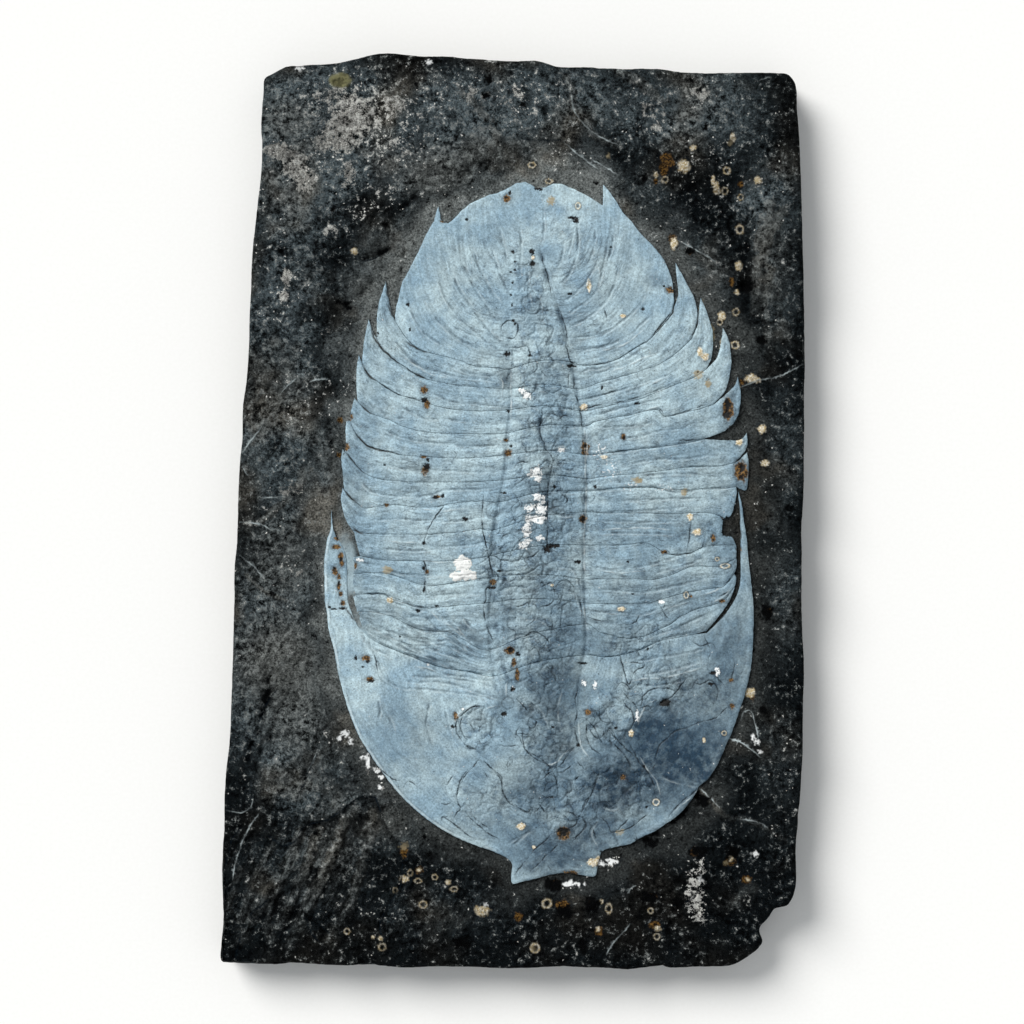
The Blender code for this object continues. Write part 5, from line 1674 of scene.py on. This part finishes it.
def tail_relief(sheet):
    """Nested ribs, and wrinkles that follow them."""
    points = sheet["points"]
    scaled = np.abs(points - TAIL_POLE) / TAIL_REACH
    reach = (scaled ** TAIL_SQUARENESS).sum(1) ** (1 / TAIL_SQUARENESS)
    angle = np.arctan2(scaled[:, 1], scaled[:, 0] * np.sign(points[:, 0] - TAIL_POLE[0]))
    off_axis = np.abs(points[:, 0] - TAIL_POLE[0])
    strength = rise(3.0, 8.0, off_axis) * (1 - rise(20.0, 36.0, off_axis))
    strength *= 1 - rise(place((0, 250))[1], place((0, 215))[1], points[:, 1])
    rib = 0.5 + 0.5 * np.cos(2 * np.pi * (reach * 9 + 0.35 * noise(points, 9.0, 3)))
    sheet["height"] += 0.16 * rib * strength
    curl = np.stack([angle * 30, reach * 58], 1)
    ribbed = np.clip(strength + 0.15, 0, 1)
    crease = creases(curl, np.array((10.0, 1.9)), 62, 0.22) * ribbed
    crease = crease * rise(-0.4, 0.4, noise(points, 7.0, 96))
    sheet["height"] += 0.06 * noise(curl, np.array((7.0, 1.6)), 61, 2) * ribbed - 0.17 * crease
    # Dirt and painted shade darken the creases.
    stain_and_light_at(sheet, "dark_marks_and_shade", slice(None), 0.42 * crease)
    sheet["flow"] = np.stack([angle * 30, reach * 58, np.full(len(angle), 91.0)], 1)
    sheet["lined"] = 0.25 + 0.75 * strength


plate("pygidium", 0.275, tail_relief)

# %% [markdown]
# ### Head shield
#
# The head is the widest and most broken piece. The eyes are lobes on either side of the glabella, the
# swollen middle of the head, which has been crushed to shards. A low rim runs round the margin.

# %% Head
# half width and lift in mm, then the line
HEAD_FORMS = read_forms("""
2.0 0.45 496,704 476,706 460,716 455,730 464,744 480,748
3.6 0.4 470,720 476,727 478,736
3.2 0.5 590,716 600,704 614,698 628,706 632,722 620,734
4.5 0.45 602,706 612,712
3.0 0.3 384,674 404,686 430,694 462,697 492,704
3.0 0.45 628,680 660,676 690,670 716,654 732,630
2.6 0.3 650,660 680,655 700,648
3.6 -0.4 650,735 640,750 650,760
6.0 -0.45 672,760 700,770
5.0 -0.45 600,775 625,785 645,800
9.0 -0.3 540,700 550,740
4.0 -0.2 510,780 545,785
""")


def head_relief(sheet):
    """The swell inwards from the margin, the eyes, and the crushed hollows."""
    points = sheet["points"]
    _, from_margin, along = measure(points, head_margin[::3])
    sheet["height"] += 0.45 * rise(0.0, 14.0, from_margin)
    sheet["height"] += 0.10 * (1 - rise(0.25, 0.9, np.abs(from_margin - 1.1)))
    for readings, half_width, lift in HEAD_FORMS:
        index, away, _ = measure(points, smooth(readings, 1.5), half_width)
        sheet["height"][index] += lift * (1 - rise(0.0, half_width, away))
    sheet["height"] += 0.22 * sheet["crush"] * noise(points, 4.0, 15, 3)
    wander = 3.0 * noise(points, 12.0, 8)
    sheet["flow"] = np.stack([along, from_margin + wander, np.full(len(along), 55.0)], 1)
    sheet["lined"] = 0.15 + 0.55 * sheet["crush"]
    # Painted highlight: on the left of the head, the side towards the light, a pale line runs 0.55 mm inside
    # the margin, with a dark line beside it at 1.1 mm.
    left = 1 - rise(place((470, 0))[0], place((520, 0))[0], points[:, 0])
    uneven = left * rise(-0.5, 0.2, noise(points, 6.0, 18))
    stain_and_light_at(sheet, "pale", slice(None), 0.55 * uneven * (1 - rise(0.12, 0.40, np.abs(from_margin - 0.55))))
    stain_and_light_at(sheet, "dark_marks_and_shade", slice(None), 0.40 * uneven * (1 - rise(0.10, 0.34, np.abs(from_margin - 1.10))))


plate("cephalon", 0.352, head_relief)

# %% [markdown]
# ## The slab
#
# The slab's top is one split surface with steps where the split jumped from one bed to the next, and a
# smooth hollow where the stone was worked away round the fossil. Its sides were sawn and broken, so they
# show the beds as fine ledges. It is the only piece with a flat underside, which it rests on.

# %% Slab marks
SLAB_TOP = 16.0
HOLLOW_DEPTH = 0.50
HOLLOW_SLOPE = 7.0
LEDGE = read_points("""
222,827 244,822 254,828 267,836 276,842 284,846 292,842 299,833 305,825 320,822 335,816 347,806 358,797
368,796 376,798 379,806 384,820 396,840 402,872 390,898 383,930 378,975
""")
# half width and lift in mm, then the line
SLAB_RIDGES = read_forms("""
1.6 0.55 300,836 286,862 264,900 240,944
1.2 0.35 272,846 256,876 236,930
1.6 0.5 318,830 306,868 286,910 270,940
1.8 0.45 344,822 330,860 312,900 290,944
1.8 0.35 372,815 366,850 350,900 330,940
1.2 0.35 240,870 230,900 224,920
0.9 0.25 280,930 250,925 228,912
0.8 -0.25 222,928 250,926 274,932 284,940
0.9 0.3 701,790 712,802 726,817 740,819 757,823 770,830 786,842
1.2 0.25 566,78 573,92 573.5,110 584,126 602,139 618,146
1.2 0.3 616,70 630,76 645,84 656,96 667,101
0.5 0.15 252,444 276,412 304,378
1.2 -0.3 246,760 256,735 262,710 276,690
1.0 -0.2 252,780 262,750 280,720
0.8 -0.35 318,750 312,762 304,780
1.4 -0.35 280,250 302,262 340,262 370,256 386,248
1.6 -0.35 300,320 330,316 345,305
1.5 -0.3 420,170 460,172 495,158 505,140
1.5 0.2 770,270 765,300 768,340
1.5 0.35 758,290 768,240 784,210
1.2 0.25 310,470 285,500 262,520
0.5 0.12 246,575 262,590 285,600
0.8 -0.4 490,185 500,176 503,172
0.7 -0.35 384,945 380,925 392,900 402,880
0.5 -0.3 398,840 402,860 400,880
1.0 -0.25 330,420 332,450 330,470
0.6 -0.45 288,168 289,158 294,154 304,152
2.0 0.3 735,905 742,893 752,888
1.3 0.45 300,830 296,850 285,875 262,895 248,915
1.0 0.4 285,870 275,895 268,915 266,935
1.2 0.4 345,822 335,850 318,880 300,905
2.2 0.45 770,205 762,235 757,265 755,310
1.2 -0.45 751,215 748,245 746,275 746,310
1.0 0.4 614,68 622,76 634,82 644,90 655,98
0.9 0.4 561,68 568,80 573,92 572,104 575,115 582,125 592,133 602,139
1.3 -0.45 270,665 262,720 250,750 243,790
0.9 -0.25 322,395 328,430 330,450
2.0 -0.5 385,225 398,208 415,195
0.4 -0.25 397,300 400,275 405,250
0.7 -0.5 360,260 376,256 390,248
1.4 -0.4 345,306 362,292 372,280
1.6 -0.35 300,232 330,222 352,205 372,198
1.2 0.3 460,90 478,108 494,128 500,148
1.0 -0.35 640,128 656,150 668,172
""")
# How the split leans: x, y, reach across, reach up, degrees from level, how strong
LEANINGS = read_points("""
300,890,100,80,62,1.0 430,900,90,70,60,0.6 275,700,50,110,78,0.55 280,430,54,120,55,0.7
400,205,56,44,50,0.8 560,110,90,56,-55,0.6 330,110,80,60,30,0.5 772,270,44,110,80,0.6
700,180,70,70,35,0.5 785,560,30,200,84,0.4 690,900,90,60,45,0.4 290,270,50,70,40,0.6
""")
# where the split left dashes: x, y, reach across, reach up, how much
DASHED = read_points("290,890,110,90,1.0 430,910,120,70,0.7 270,620,60,160,0.4")
# Stone fills the gap between the left genal spine and the thorax, along FILLED. Film is left on some of
# it: y, and how much. FILL_LEVEL is the height of its top in mm
FILM_LEFT = read_points("538,0.1 552,0.85 588,0.9 598,0.1 620,0.1 630,0.85")
FILLED = read_points("346,541 349,560 350,580 351,598 354,612 362,627 374,640")
FILL_LEVEL = 16.42
SLAB_CRACKS = read_strokes("""
288,169 288,160 293,155 304,152
318,752 312,764 304,784 296,800
268,836 276,842 284,846 294,842 300,832 306,826 330,818 347,806 358,798
358,797 372,797 376,800 380,812
384,940 380,925 384,912 392,900 401,884 402,860
224,870 232,840 240,828
363,261 372,259 380,255
268,900 250,915 262,922
320,944 312,934 306,920
560,140 540,140 520,138
700,890 690,900 672,906
276,690 262,712 256,736
240,936 236,950 234,962
330,935 320,925
""")
# thin pale lines
SLAB_VEINS = read_strokes("""
242,453 248,444 256,434 262,426
282,391 290,384 296,378 300,375
242,466 247,475
310,382 318,380 328,379
225,811 240,813 250,808 253,800
318,750 312,762 307,774
231,880 238,852 248,830 258,815
680,241 700,252 716,262
564,142 580,156 600,170
590,158 604,166 618,174
740,387 760,380 780,376 804,364
741,720 744,712 752,712 756,728 758,740
727,738 740,742 752,750 762,758
750,735 756,742 760,746
700,788 712,800 720,808
740,819 757,822 768,828
248,626 254,630
572,92 573.5,110 584,124 602,138 618,145
240,555 255,568 264,578
240,522 258,524 272,530
284,497 262,498
606,955 616,940 630,924
760,80 770,76
628,894 632,888 636,886
""")
# Bloom patches: x, y, reach across, reach up, strength
BLOOM = read_points("""
350,120,34,30,0.7 340,142,28,22,0.62 278,150,20,12,0.85 292,165,24,16,0.7 330,115,70,60,0.38
300,165,50,40,0.3 400,110,60,50,0.35 500,90,60,40,0.35 400,165,60,40,0.32 345,225,40,30,0.35
660,110,60,40,0.3 290,290,30,40,0.4 290,500,50,60,0.3 720,160,60,40,0.25 700,84,30,20,0.4
304,180,18,22,0.85 350,172,10,16,0.7 345,185,10,8,0.6 286,278,7,16,0.8 284,296,8,8,0.7 326,332,12,7,0.5
350,320,8,10,0.35 330,232,14,12,0.4 395,108,16,12,0.45 410,66,14,14,0.4 470,92,16,20,0.4
462,140,12,16,0.4 390,80,14,10,0.3 335,95,30,12,0.4 280,200,14,14,0.35 285,225,8,20,0.3
390,190,26,10,0.3 260,320,12,20,0.3 292,490,16,10,0.5 262,512,20,10,0.35 250,524,18,6,0.45
270,548,24,10,0.35 290,570,26,14,0.35 300,575,16,6,0.4 520,95,30,24,0.35 545,120,34,12,0.35
650,110,20,14,0.4 655,128,12,8,0.4 700,98,18,18,0.45 735,90,20,14,0.25 585,124,14,10,0.4
576,90,8,20,0.4 712,148,14,14,0.35 770,190,22,16,0.35 780,110,14,18,0.2 785,235,12,30,0.2
705,320,16,16,0.2 785,770,16,60,0.35 780,830,18,14,0.3 440,190,20,14,0.25 790,430,10,60,0.15
725,270,30,30,0.1 745,900,10,14,0.35 730,930,16,6,0.25 250,760,20,40,0.18 330,860,24,40,0.22
300,830,10,16,0.3 345,805,14,10,0.35 368,770,5,10,0.6 378,772,5,6,0.6 345,738,8,9,0.5
382,788,5,4,0.5 566,886,14,4,0.5 612,862,10,8,0.6 535,890,7,4,0.4 481,866,5,6,0.4 700,870,8,12,0.55
694,895,9,26,0.65 698,912,8,10,0.6 722,345,8,16,0.5 745,180,6,6,0.1 700,905,10,34,0.3 640,888,6,4,0.4
545,145,16,5,0.35 400,150,26,30,0.2 370,95,60,30,0.18 320,110,50,50,0.12
""")
# Speck density: x, y, reach across, reach up, strength
SPECKS = read_points("""
390,130,60,50,0.45 370,200,40,36,0.35 340,90,60,30,0.3 530,100,60,40,0.35 330,160,40,40,0.25
280,300,30,50,0.2 640,110,40,40,0.25 300,400,40,40,0.3 340,390,24,20,0.4 720,170,60,60,0.15
695,895,16,46,0.9 700,865,10,14,0.6 330,735,20,14,0.35 290,600,40,40,0.12 300,560,30,20,0.2
780,760,20,80,0.08 460,200,30,20,0.15 360,920,60,40,0.12 612,862,10,8,0.6 570,886,14,6,0.4
560,150,40,30,0.3 650,235,50,50,0.12 440,90,40,30,0.3 270,240,20,60,0.15
""")
# Where the stone is worked smooth or weathered brown-grey
BROWNED = read_points("""
440,175,60,40,0.8 385,260,34,50,0.7 290,120,40,30,0.6 350,320,30,40,0.55 335,480,14,80,0.7
280,560,60,60,0.6 280,660,70,60,0.9 300,720,60,50,0.6 345,700,20,70,0.5 390,820,40,30,0.8
330,850,40,60,0.7 640,190,20,20,0.2 700,300,30,60,0.5 770,260,30,50,0.5 755,530,14,80,0.5
620,860,60,16,0.5 540,160,60,16,0.6 480,150,30,24,0.7 660,255,30,50,0.5 250,450,20,100,0.2
780,800,30,60,0.1 700,95,30,30,0.3 348,545,12,22,0.9 360,380,20,40,0.5
""")
SLAB_SPOTS = read_spots("""
rust 666,158,6,5 664,168,5,8 670,163,5,4
cream 684,167,6,7 656,175,2.5,3
rust 656,181,2.5,3
ring 665,180,3.5,3.5 726.5,171,3.5,4
cream 693,148,3.5,3 733,137,3,4.5
ochre 730,143,3,3
cream 713,180,2,5 716,187,3,5
ring 717,191,3.5,3.5 725,191,3.5,3.5
rust 741,184,3.5,3
cream 758,180,4,4
ring 741,197,3,3 740,229,4,5
cream 739,266,4,4.5
rust 731.6,282,2.5,4.5
cream 737,292,2,3
pit 747,286,7,7 740,284,5,4
cream 674,243,3.5,6
rust 673,238,4,4
cream 722,316,4,5
ring 720,322,3,3 736,312,3.5,4
cream 751,378,6,4 757,380,4,3
rust 742,382,3,3
cream 738,386,3,2.5 762,429,4,4.5 765,463,4,3
pit 767,612,7,8
rust 768,612,4,4.5
cream 750,693,5,5
rust 752,697,3,3
pit 704,801,9,6 697,795,4,4 677,815,9,5 684,809,4,6 672,822,5,3 652,843,7,6 656,834,5,2.5 646,840,4,3
ring 532,165,4,3 549,181,4,2.5
pit 596,183,3.5,1.8 696,851,6,6
rust 695,851,4,4.5
pit 732,852,8,7
rust 730,862,6,5
cream 731,859,3,3
ochre 726,863,3,2.5
rust 747,880,4.5,4.5
cream 748,880,2,2
pit 554,886,9,9
rust 555,885,5,5
ring 547,904,5,5
rust 563,905,7,4
pit 565,912,9,7 592,906,8,9
rust 592,905,4.5,5
ring 535,948,5,5
ochre 533,948,3,3
rust 518,917,4.5,4.5
ring 609,909,3.5,5.5
cream 601,902,2.5,2.5
rust 599,931,3.5,5
cream 598,929,2,3
pit 583,946,5,6 650,898,10,6
rust 652,897,6,3
ring 650.5,911,3,3
rust 655,925,6,4
cream 658,929,3.5,3
ring 657,937,3.5,3.5
pit 679,901,6,7 678,880,5,5 640,918,4,3
rust 404,851,3.5,7
ochre 404,846,4,4
rust 419,870,4,4
cream 419,870,2.5,2.5 404,879,4.5,3.5
ring 410,873,2.8,3.5 418,881,4,2.5 435,877,3,3
cream 448,882,3,3
ring 454,889,4,3 395,891,2.8,3 423,905,4.5,4
cream 482,911,8,5
ring 485,912,3,3
cream 381,938,3,2.5 373,937,2,1.5
ring 382,947,4,4
white 486,905,2,1.5
ring 347,932,3,3
pit 424,837,3,2.5 430,854,3,2.5 461,943,9,7
olive 340,80,11,7.5
dimple 339,82,6,4
white 429,61,3.5,2.5 300,68,5,1.8
cream 354,251,3.5,3.5
pit 349,308,3,3 333,209,3,3 488,79,5,5 486,95,5,4
white 345,733,4,3 340,738,2.5,3 350,742,1.6,3 368,762,2,7 364,757,4,2 377,771,3,2 381,777,2.5,2
 380,788,3,1.5
rust 340,420,3,3 339,455,3,2
pit 762,341,5,5 523,105,4,3 706,127,3,4 644,178,4,4 759,340,3,3 690,251,5,4
rust 690,252,2.5,2.5
white 757,742,3,2.5 753,737,2.5,2 760,752,2,2
pit 787,908,3,3
white 700,879,2,3
pit 751,650,4,3 763,711,4,5
ochre 608,156,2,2
white 756,855,3,3 572,884,9,2.5 601,863,3,2.5 611,862,6,3
cream 724,345,4,8
ring 735,345,4,4
ochre 711,334,3,10 702,310,3,8 721,370,2,6
""")
print("slab ridges:", len(SLAB_RIDGES), "blooms:", len(BLOOM), "spots:", len(SLAB_SPOTS))

# %% Slab relief
# how light the face is: x, y, reach across, reach up, how much. Part is weathering, and part is painted
# light that falls off from the upper left to the lower right
LEVELS = read_points("""
330,130,110,80,0.75 300,200,60,60,0.45 460,120,90,60,0.45 560,100,90,50,0.4 660,110,80,50,0.4
285,300,50,90,0.45 280,450,60,110,0.45 290,600,70,90,0.45 285,700,60,70,0.5 310,780,60,50,0.4
440,175,70,40,0.5 380,270,40,60,0.5 330,480,20,90,0.5 720,110,60,60,0.35 770,200,40,60,0.35
700,290,40,70,0.35 780,300,24,60,0.25 785,450,24,80,0.25 785,600,24,80,0.2 780,760,30,60,0.15
770,830,40,30,0.03 400,830,40,30,0.35 330,850,60,30,0.2 640,200,40,40,0.25 275,680,60,110,0.25
500,110,90,60,0.2 300,560,50,60,0.15 440,910,90,40,0.08 766,262,14,60,0.45 760,205,30,20,0.3
345,806,26,14,0.35 300,870,70,50,0.12 340,130,90,60,0.4 500,110,120,50,0.28 285,420,60,120,0.2
275,690,60,120,0.34
""")
EDGE_DROP = 0.9  # mm that the top's edge is worn down
slab_strokes = [("crack", roughen(smooth(line, 0.5), seed)) for seed, line in enumerate(SLAB_CRACKS)]
slab_strokes += [("vein", roughen(smooth(line, 0.4), seed)) for seed, line in enumerate(SLAB_VEINS)]
ledge_line = roughen(smooth(LEDGE, 0.6), 3)
ledge_area = np.vstack([ledge_line, place([(150, 1010), (150, 800)])])
plate_loops = [outline[::4] for outline in outlines.values()]
print("slab strokes:", len(slab_strokes))

# %% Hackles, ridges and the filled gap


def leaning_hackles(points):
    """Short hackles that lean, each patch at its own angle, from about -1 to 1."""
    leaning = np.zeros(len(points))
    for seed, (x, y, across_reach, up_reach, degrees, amount) in enumerate(LEANINGS):
        turned = math.radians(degrees)
        turn = np.array([[math.cos(turned), -math.sin(turned)], [math.sin(turned), math.cos(turned)]])
        there = patches(points, [(x, y, across_reach, up_reach, amount)])
        bowed = points @ turn + 0.8 * noise(points, 14.0, 70)[:, None]
        finer = noise(bowed, np.array((7.0, 1.4)), seed, 2)
        leaning += there * (noise(bowed, np.array((14.0, 2.6)), seed, 2) + 0.5 * finer)
    return leaning


def lay_ridges(sheet, points):
    """The split's ridges and steps, each with a shallow groove and painted shadow at its foot, away from the
    light. Gives how far each point is on one.
    """
    crest = np.zeros(len(points))
    for readings, half_width, lift in SLAB_RIDGES:
        index, from_ridge, _ = measure(points, roughen(smooth(readings, 1.2), 5), half_width * 1.6)
        wander = 0.8 + 0.9 * noise(points[index], 3.0, 13, 3)
        shape = np.clip(wander, 0, 1.6) * (1 - rise(0.0, half_width * 1.6, from_ridge))
        sheet["height"][index] += 1.6 * lift * shape
        crest[index] += np.sign(lift) * shape
        side = 1 if lift > 0 else -1
        foot = beside(smooth(readings, 1.2), half_width * 1.1)
        if side * np.mean((foot - smooth(readings, 1.2)) @ LIT_SIDE) < 0:
            foot = beside(smooth(readings, 1.2), -half_width * 1.1)
        index, from_foot, _ = measure(points, roughen(foot, 5), 0.9)
        # Painted shadow at the ridge's foot, on the side away from the light, over a shallow groove.
        foot_shadow = (1 - rise(0.1, 0.9, from_foot)) * rise(-0.3, 0.4, noise(points[index], 4.0, 14, 2))
        sheet["height"][index] -= 0.30 * foot_shadow
        stain_and_light_at(sheet, "black", index, 0.60 * foot_shadow)
    return crest


def fill_gap(sheet, points):
    """The stone and film in the gap between the left genal spine and the thorax."""
    index, from_fill, _ = measure(points, smooth(FILLED), 3.4)
    fill = 1 - rise(1.9, 3.2, from_fill)
    lumpy = 0.10 * noise(points[index], 2.0, 33, 2)
    sheet["height"][index] += (FILL_LEVEL + lumpy - sheet["height"][index]) * fill
    share = np.interp(-points[index, 1], *zip(*[(-place((0, y))[1], amount) for y, amount in FILM_LEFT]))
    sheet["film"][index] = fill * np.clip(share + 0.25 * noise(points[index], 3.0, 34, 2), 0, 1.0)
    sheet["level"][index] = np.maximum(sheet["level"][index], 0.95 * fill)


print("gap points:", len(FILLED))

# %% Slab sheet


def slab_sheet(points):
    """The split top, the worked hollow, the broken bed and all the slab's marks."""
    sheet = new_sheet(points, SLAB_TOP, STONE_MAPS)
    within = inside(points, hollow_rim)
    from_rim = distance(points, closed_line(hollow_rim), 16.0)
    hollow = within * rise(0.0, HOLLOW_SLOPE, from_rim)
    inwards = np.where(within, from_rim, -from_rim) + 6.0 * noise(points, 16.0, 19, 2)
    smoothed = rise(-7.0, 8.0, inwards)
    rough = 1 - 0.80 * smoothed
    hackle = noise(points, 9.0, 2, 3) * 0.26 + noise(points, 2.6, 3, 3) * 0.16
    bedding = 3.2 * noise(points, 17.0, 4, 4)
    bed = np.floor(bedding)
    steps = (bed + rise(0.90, 1.0, bedding % 1.0)) * 0.60
    bed_shade = noise(np.stack([bed * 3.7, bed * 1.3], 1), 1.0, 9)
    crease = creases(points, 11.0, 7, 0.10)
    leaning = leaning_hackles(points)
    uneven = noise(points, 30.0, 1) * 0.35 + hackle + steps + 0.42 * leaning - 0.30 * crease
    sheet["height"] += rough * uneven
    sheet["height"] -= HOLLOW_DEPTH * hollow
    away = distance(points, ledge_line, 4.0)
    broken = inside(points, ledge_area)
    crumble = 0.7 + 0.5 * noise(points, 2.5, 12, 2)
    sheet["height"] -= broken * 1.25 * rise(0.0, 0.9, away * crumble)
    crest = lay_ridges(sheet, points)
    # Painted light: the worked zone round the fossil is lighter towards the upper left, where the light
    # comes from.
    lit_side = 1 - rise(-60.0, 60.0, points @ (0.8, -0.6))
    light = np.maximum(patches(points, LEVELS), smoothed * (0.11 + 0.53 * lit_side))
    # Painted light and shade: the face is lighter where the hackles and leaning hackles stand high and
    # darker in the creases, and each bed has its own tone.
    tone = 1 + rough * (1.1 * hackle + 0.30 * bed_shade + 0.75 * leaning - 0.5 * crease)
    # Painted shade just below the ledge on the broken side, and painted highlight on the top side beside it.
    ledge_shade_and_highlight = 0.75 * broken * (1 - rise(0.2, 2.0, away)) - 0.45 * ~broken * (1 - rise(0.4, 3.2, away))
    # Painted highlight on the ridges that lay_ridges raised, and painted shade in the hollows that it sank.
    tone = tone * (1 - ledge_shade_and_highlight) + crest * (0.45 + 0.3 * (crest < 0))
    lightness = 1.50 * light * tone + 0.30 * np.clip(crest, 0, 1) + 0.045 + 0.10 * leaning
    sheet["level"] = np.clip(lightness, 0.0, 1)
    sheet["bloom"] = patches(points, BLOOM)
    sheet["specks"] = patches(points, SPECKS)
    browned = np.maximum(0.7 * patches(points, BROWNED), 0.55 * smoothed)
    sheet["brown"] = np.clip(browned + 0.4 * (crest > 0.2), 0, 1)
    sheet["worked"] = 0.72 * smoothed
    sheet["dashes"] = patches(points, DASHED)
    fill_gap(sheet, points)
    for seed, (kind, line) in enumerate(slab_strokes):
        lay_stroke(sheet, kind, line, seed, 1.3 if kind == "crack" else 1.0)
    for seed, spot in enumerate(SLAB_SPOTS):
        lay_spot(sheet, spot, seed + 300)
    from_edge = distance(points, closed_line(slab_outline), 2.0)
    sheet["height"] -= EDGE_DROP * (1 - rise(0.0, 1.6, from_edge)) ** 2
    return sheet


print("slab relief is ready")

# %% Slab mesh
SLAB_SPACING = 0.735
BURIED_SPACING = 5.0
EDGE_INSET = 0.9
SIDE_STEPS = 13


def slab_points():
    """A net that is fine where the slab shows and coarse under the fossil."""
    spacing = SLAB_SPACING * COARSE
    net = even_net(slab_outline.min(0), slab_outline.max(0), spacing, 5)
    buried = np.zeros(len(net), bool)
    for loop in plate_loops:
        near = np.flatnonzero(np.all((net > loop.min(0)) & (net < loop.max(0)), axis=1))
        hidden = near[inside(net[near], loop)]
        buried[hidden[distance(net[hidden], closed_line(loop), 1.0) > 0.8]] = True
    deep = even_net(slab_outline.min(0), slab_outline.max(0), BURIED_SPACING, 6)
    drawn = drawing_points(slab_strokes, SLAB_SPOTS, 0.55)
    points = np.vstack([drawn, ledge_line, beside(ledge_line, -0.5), net[~buried], deep])
    points = thin_out(points, spacing * 0.5)
    points = points[inside(points, slab_outline)]
    return points[distance(points, closed_line(slab_outline), 1.0) > EDGE_INSET * 0.5]


def side_rings():
    """Rings of (height, inset) down the sides, where the beds stand out as ledges."""
    turn = np.concatenate([[0], np.cumsum(np.hypot(*np.diff(slab_outline, axis=0).T))])
    rings = []
    for step in range(1, SIDE_STEPS + 1):
        share = step / SIDE_STEPS
        level = SLAB_TOP - EDGE_DROP - (SLAB_TOP - EDGE_DROP) * share
        where = np.stack([turn, np.full(len(turn), level * 3.0)], 1)
        beds = noise(np.stack([turn * 0.25, np.full(len(turn), level * 2.2)], 1), 1.4, 21)
        hackle = noise(where, 3.2, 22, 3)
        inset = 0.55 + 0.45 * beds + 0.35 * hackle
        height = level + 0.25 * noise(where, 9.0, 23)
        if step == SIDE_STEPS:
            height = np.zeros(len(turn))
            inset = inset + 0.5
        rings.append((height, np.clip(inset, 0.0, 2.0)))
    return rings


slab = solid("matrix_slab_split", slab_outline, slab_sheet, slab_points(), side_rings(), mudstone)
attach(slab, "root")
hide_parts("matrix_slab")

# %% [markdown]
# ## Floor, light and camera
#
# The slab lies on plain white paper. One broad soft light comes from the upper left, as in a window, and
# the sky fills the rest. A sun lamp with a wide disc lights the whole sheet evenly, which an area lamp
# nearby wouldn't. The camera looks straight down from about a metre.

# %% Floor


def paper_material():
    """White paper, matt."""
    material = bpy.data.materials.new("white_paper")
    material.use_nodes = True
    tree = material.node_tree
    shader = tree.nodes["Principled BSDF"]
    position = add_node(tree, "TexCoord", out="Object")
    fibre = add_node(tree, "TexNoise", {"Scale": 900.0, "Detail": 3.0, "Vector": position})
    shade = add_node(tree, "Mix", {6: linear("#F6F6F4"), 7: linear("#FCFCFB"), 0: fibre}, out=2,
                     data_type="RGBA")
    tree.links.new(shade, shader.inputs["Base Color"])
    shader.inputs["Roughness"].default_value = 0.9
    shader.inputs["Specular IOR Level"].default_value = 0.1
    return material


FLOOR_HALF = 6.0
floor_mesh = bpy.data.meshes.new("paper_floor")
floor_mesh.from_pydata(
    [(x * FLOOR_HALF, y * FLOOR_HALF, 0) for x, y in ((-1, -1), (1, -1), (1, 1), (-1, 1))],
    [], [(0, 1, 2, 3)],
)
floor_mesh.materials.append(paper_material())
floor = bpy.data.objects.new("paper_floor", floor_mesh)
bpy.context.scene.collection.objects.link(floor)
print("floor is", 2 * FLOOR_HALF, "m across")

# %% Light
sun = bpy.data.lights.new("soft_window", "SUN")
sun.energy = 3.05
sun.angle = math.radians(34)
sun.color = (1.0, 0.985, 0.96)
sun_holder = bpy.data.objects.new("soft_window", sun)
sun_holder.rotation_euler = Vector((-0.58, 0.58, 0.68)).to_track_quat("Z", "Y").to_euler()
bpy.context.scene.collection.objects.link(sun_holder)
sky = bpy.data.worlds.new("studio_fill")
sky.use_nodes = True
sky.node_tree.nodes["Background"].inputs["Color"].default_value = (0.95, 0.98, 1.0, 1.0)
sky.node_tree.nodes["Background"].inputs["Strength"].default_value = 0.46
bpy.context.scene.world = sky
bpy.context.scene.view_settings.view_transform = "Standard"
print("sun energy", sun.energy)

# %% Camera
LENS = 100.0
SENSOR = 36.0
VIEW_WIDTH = 1024 * PIXEL
camera = bpy.data.cameras.new("overhead")
camera.lens = LENS
camera.sensor_width = SENSOR
camera_holder = bpy.data.objects.new("overhead", camera)
centre = place((512, 512)) * 0.001
camera_holder.location = (centre[0], centre[1], SLAB_TOP * 0.001 + VIEW_WIDTH * 0.001 * LENS / SENSOR)
bpy.context.scene.collection.objects.link(camera_holder)
bpy.context.scene.camera = camera_holder
print("camera height", round(camera_holder.location.z, 3), "m")
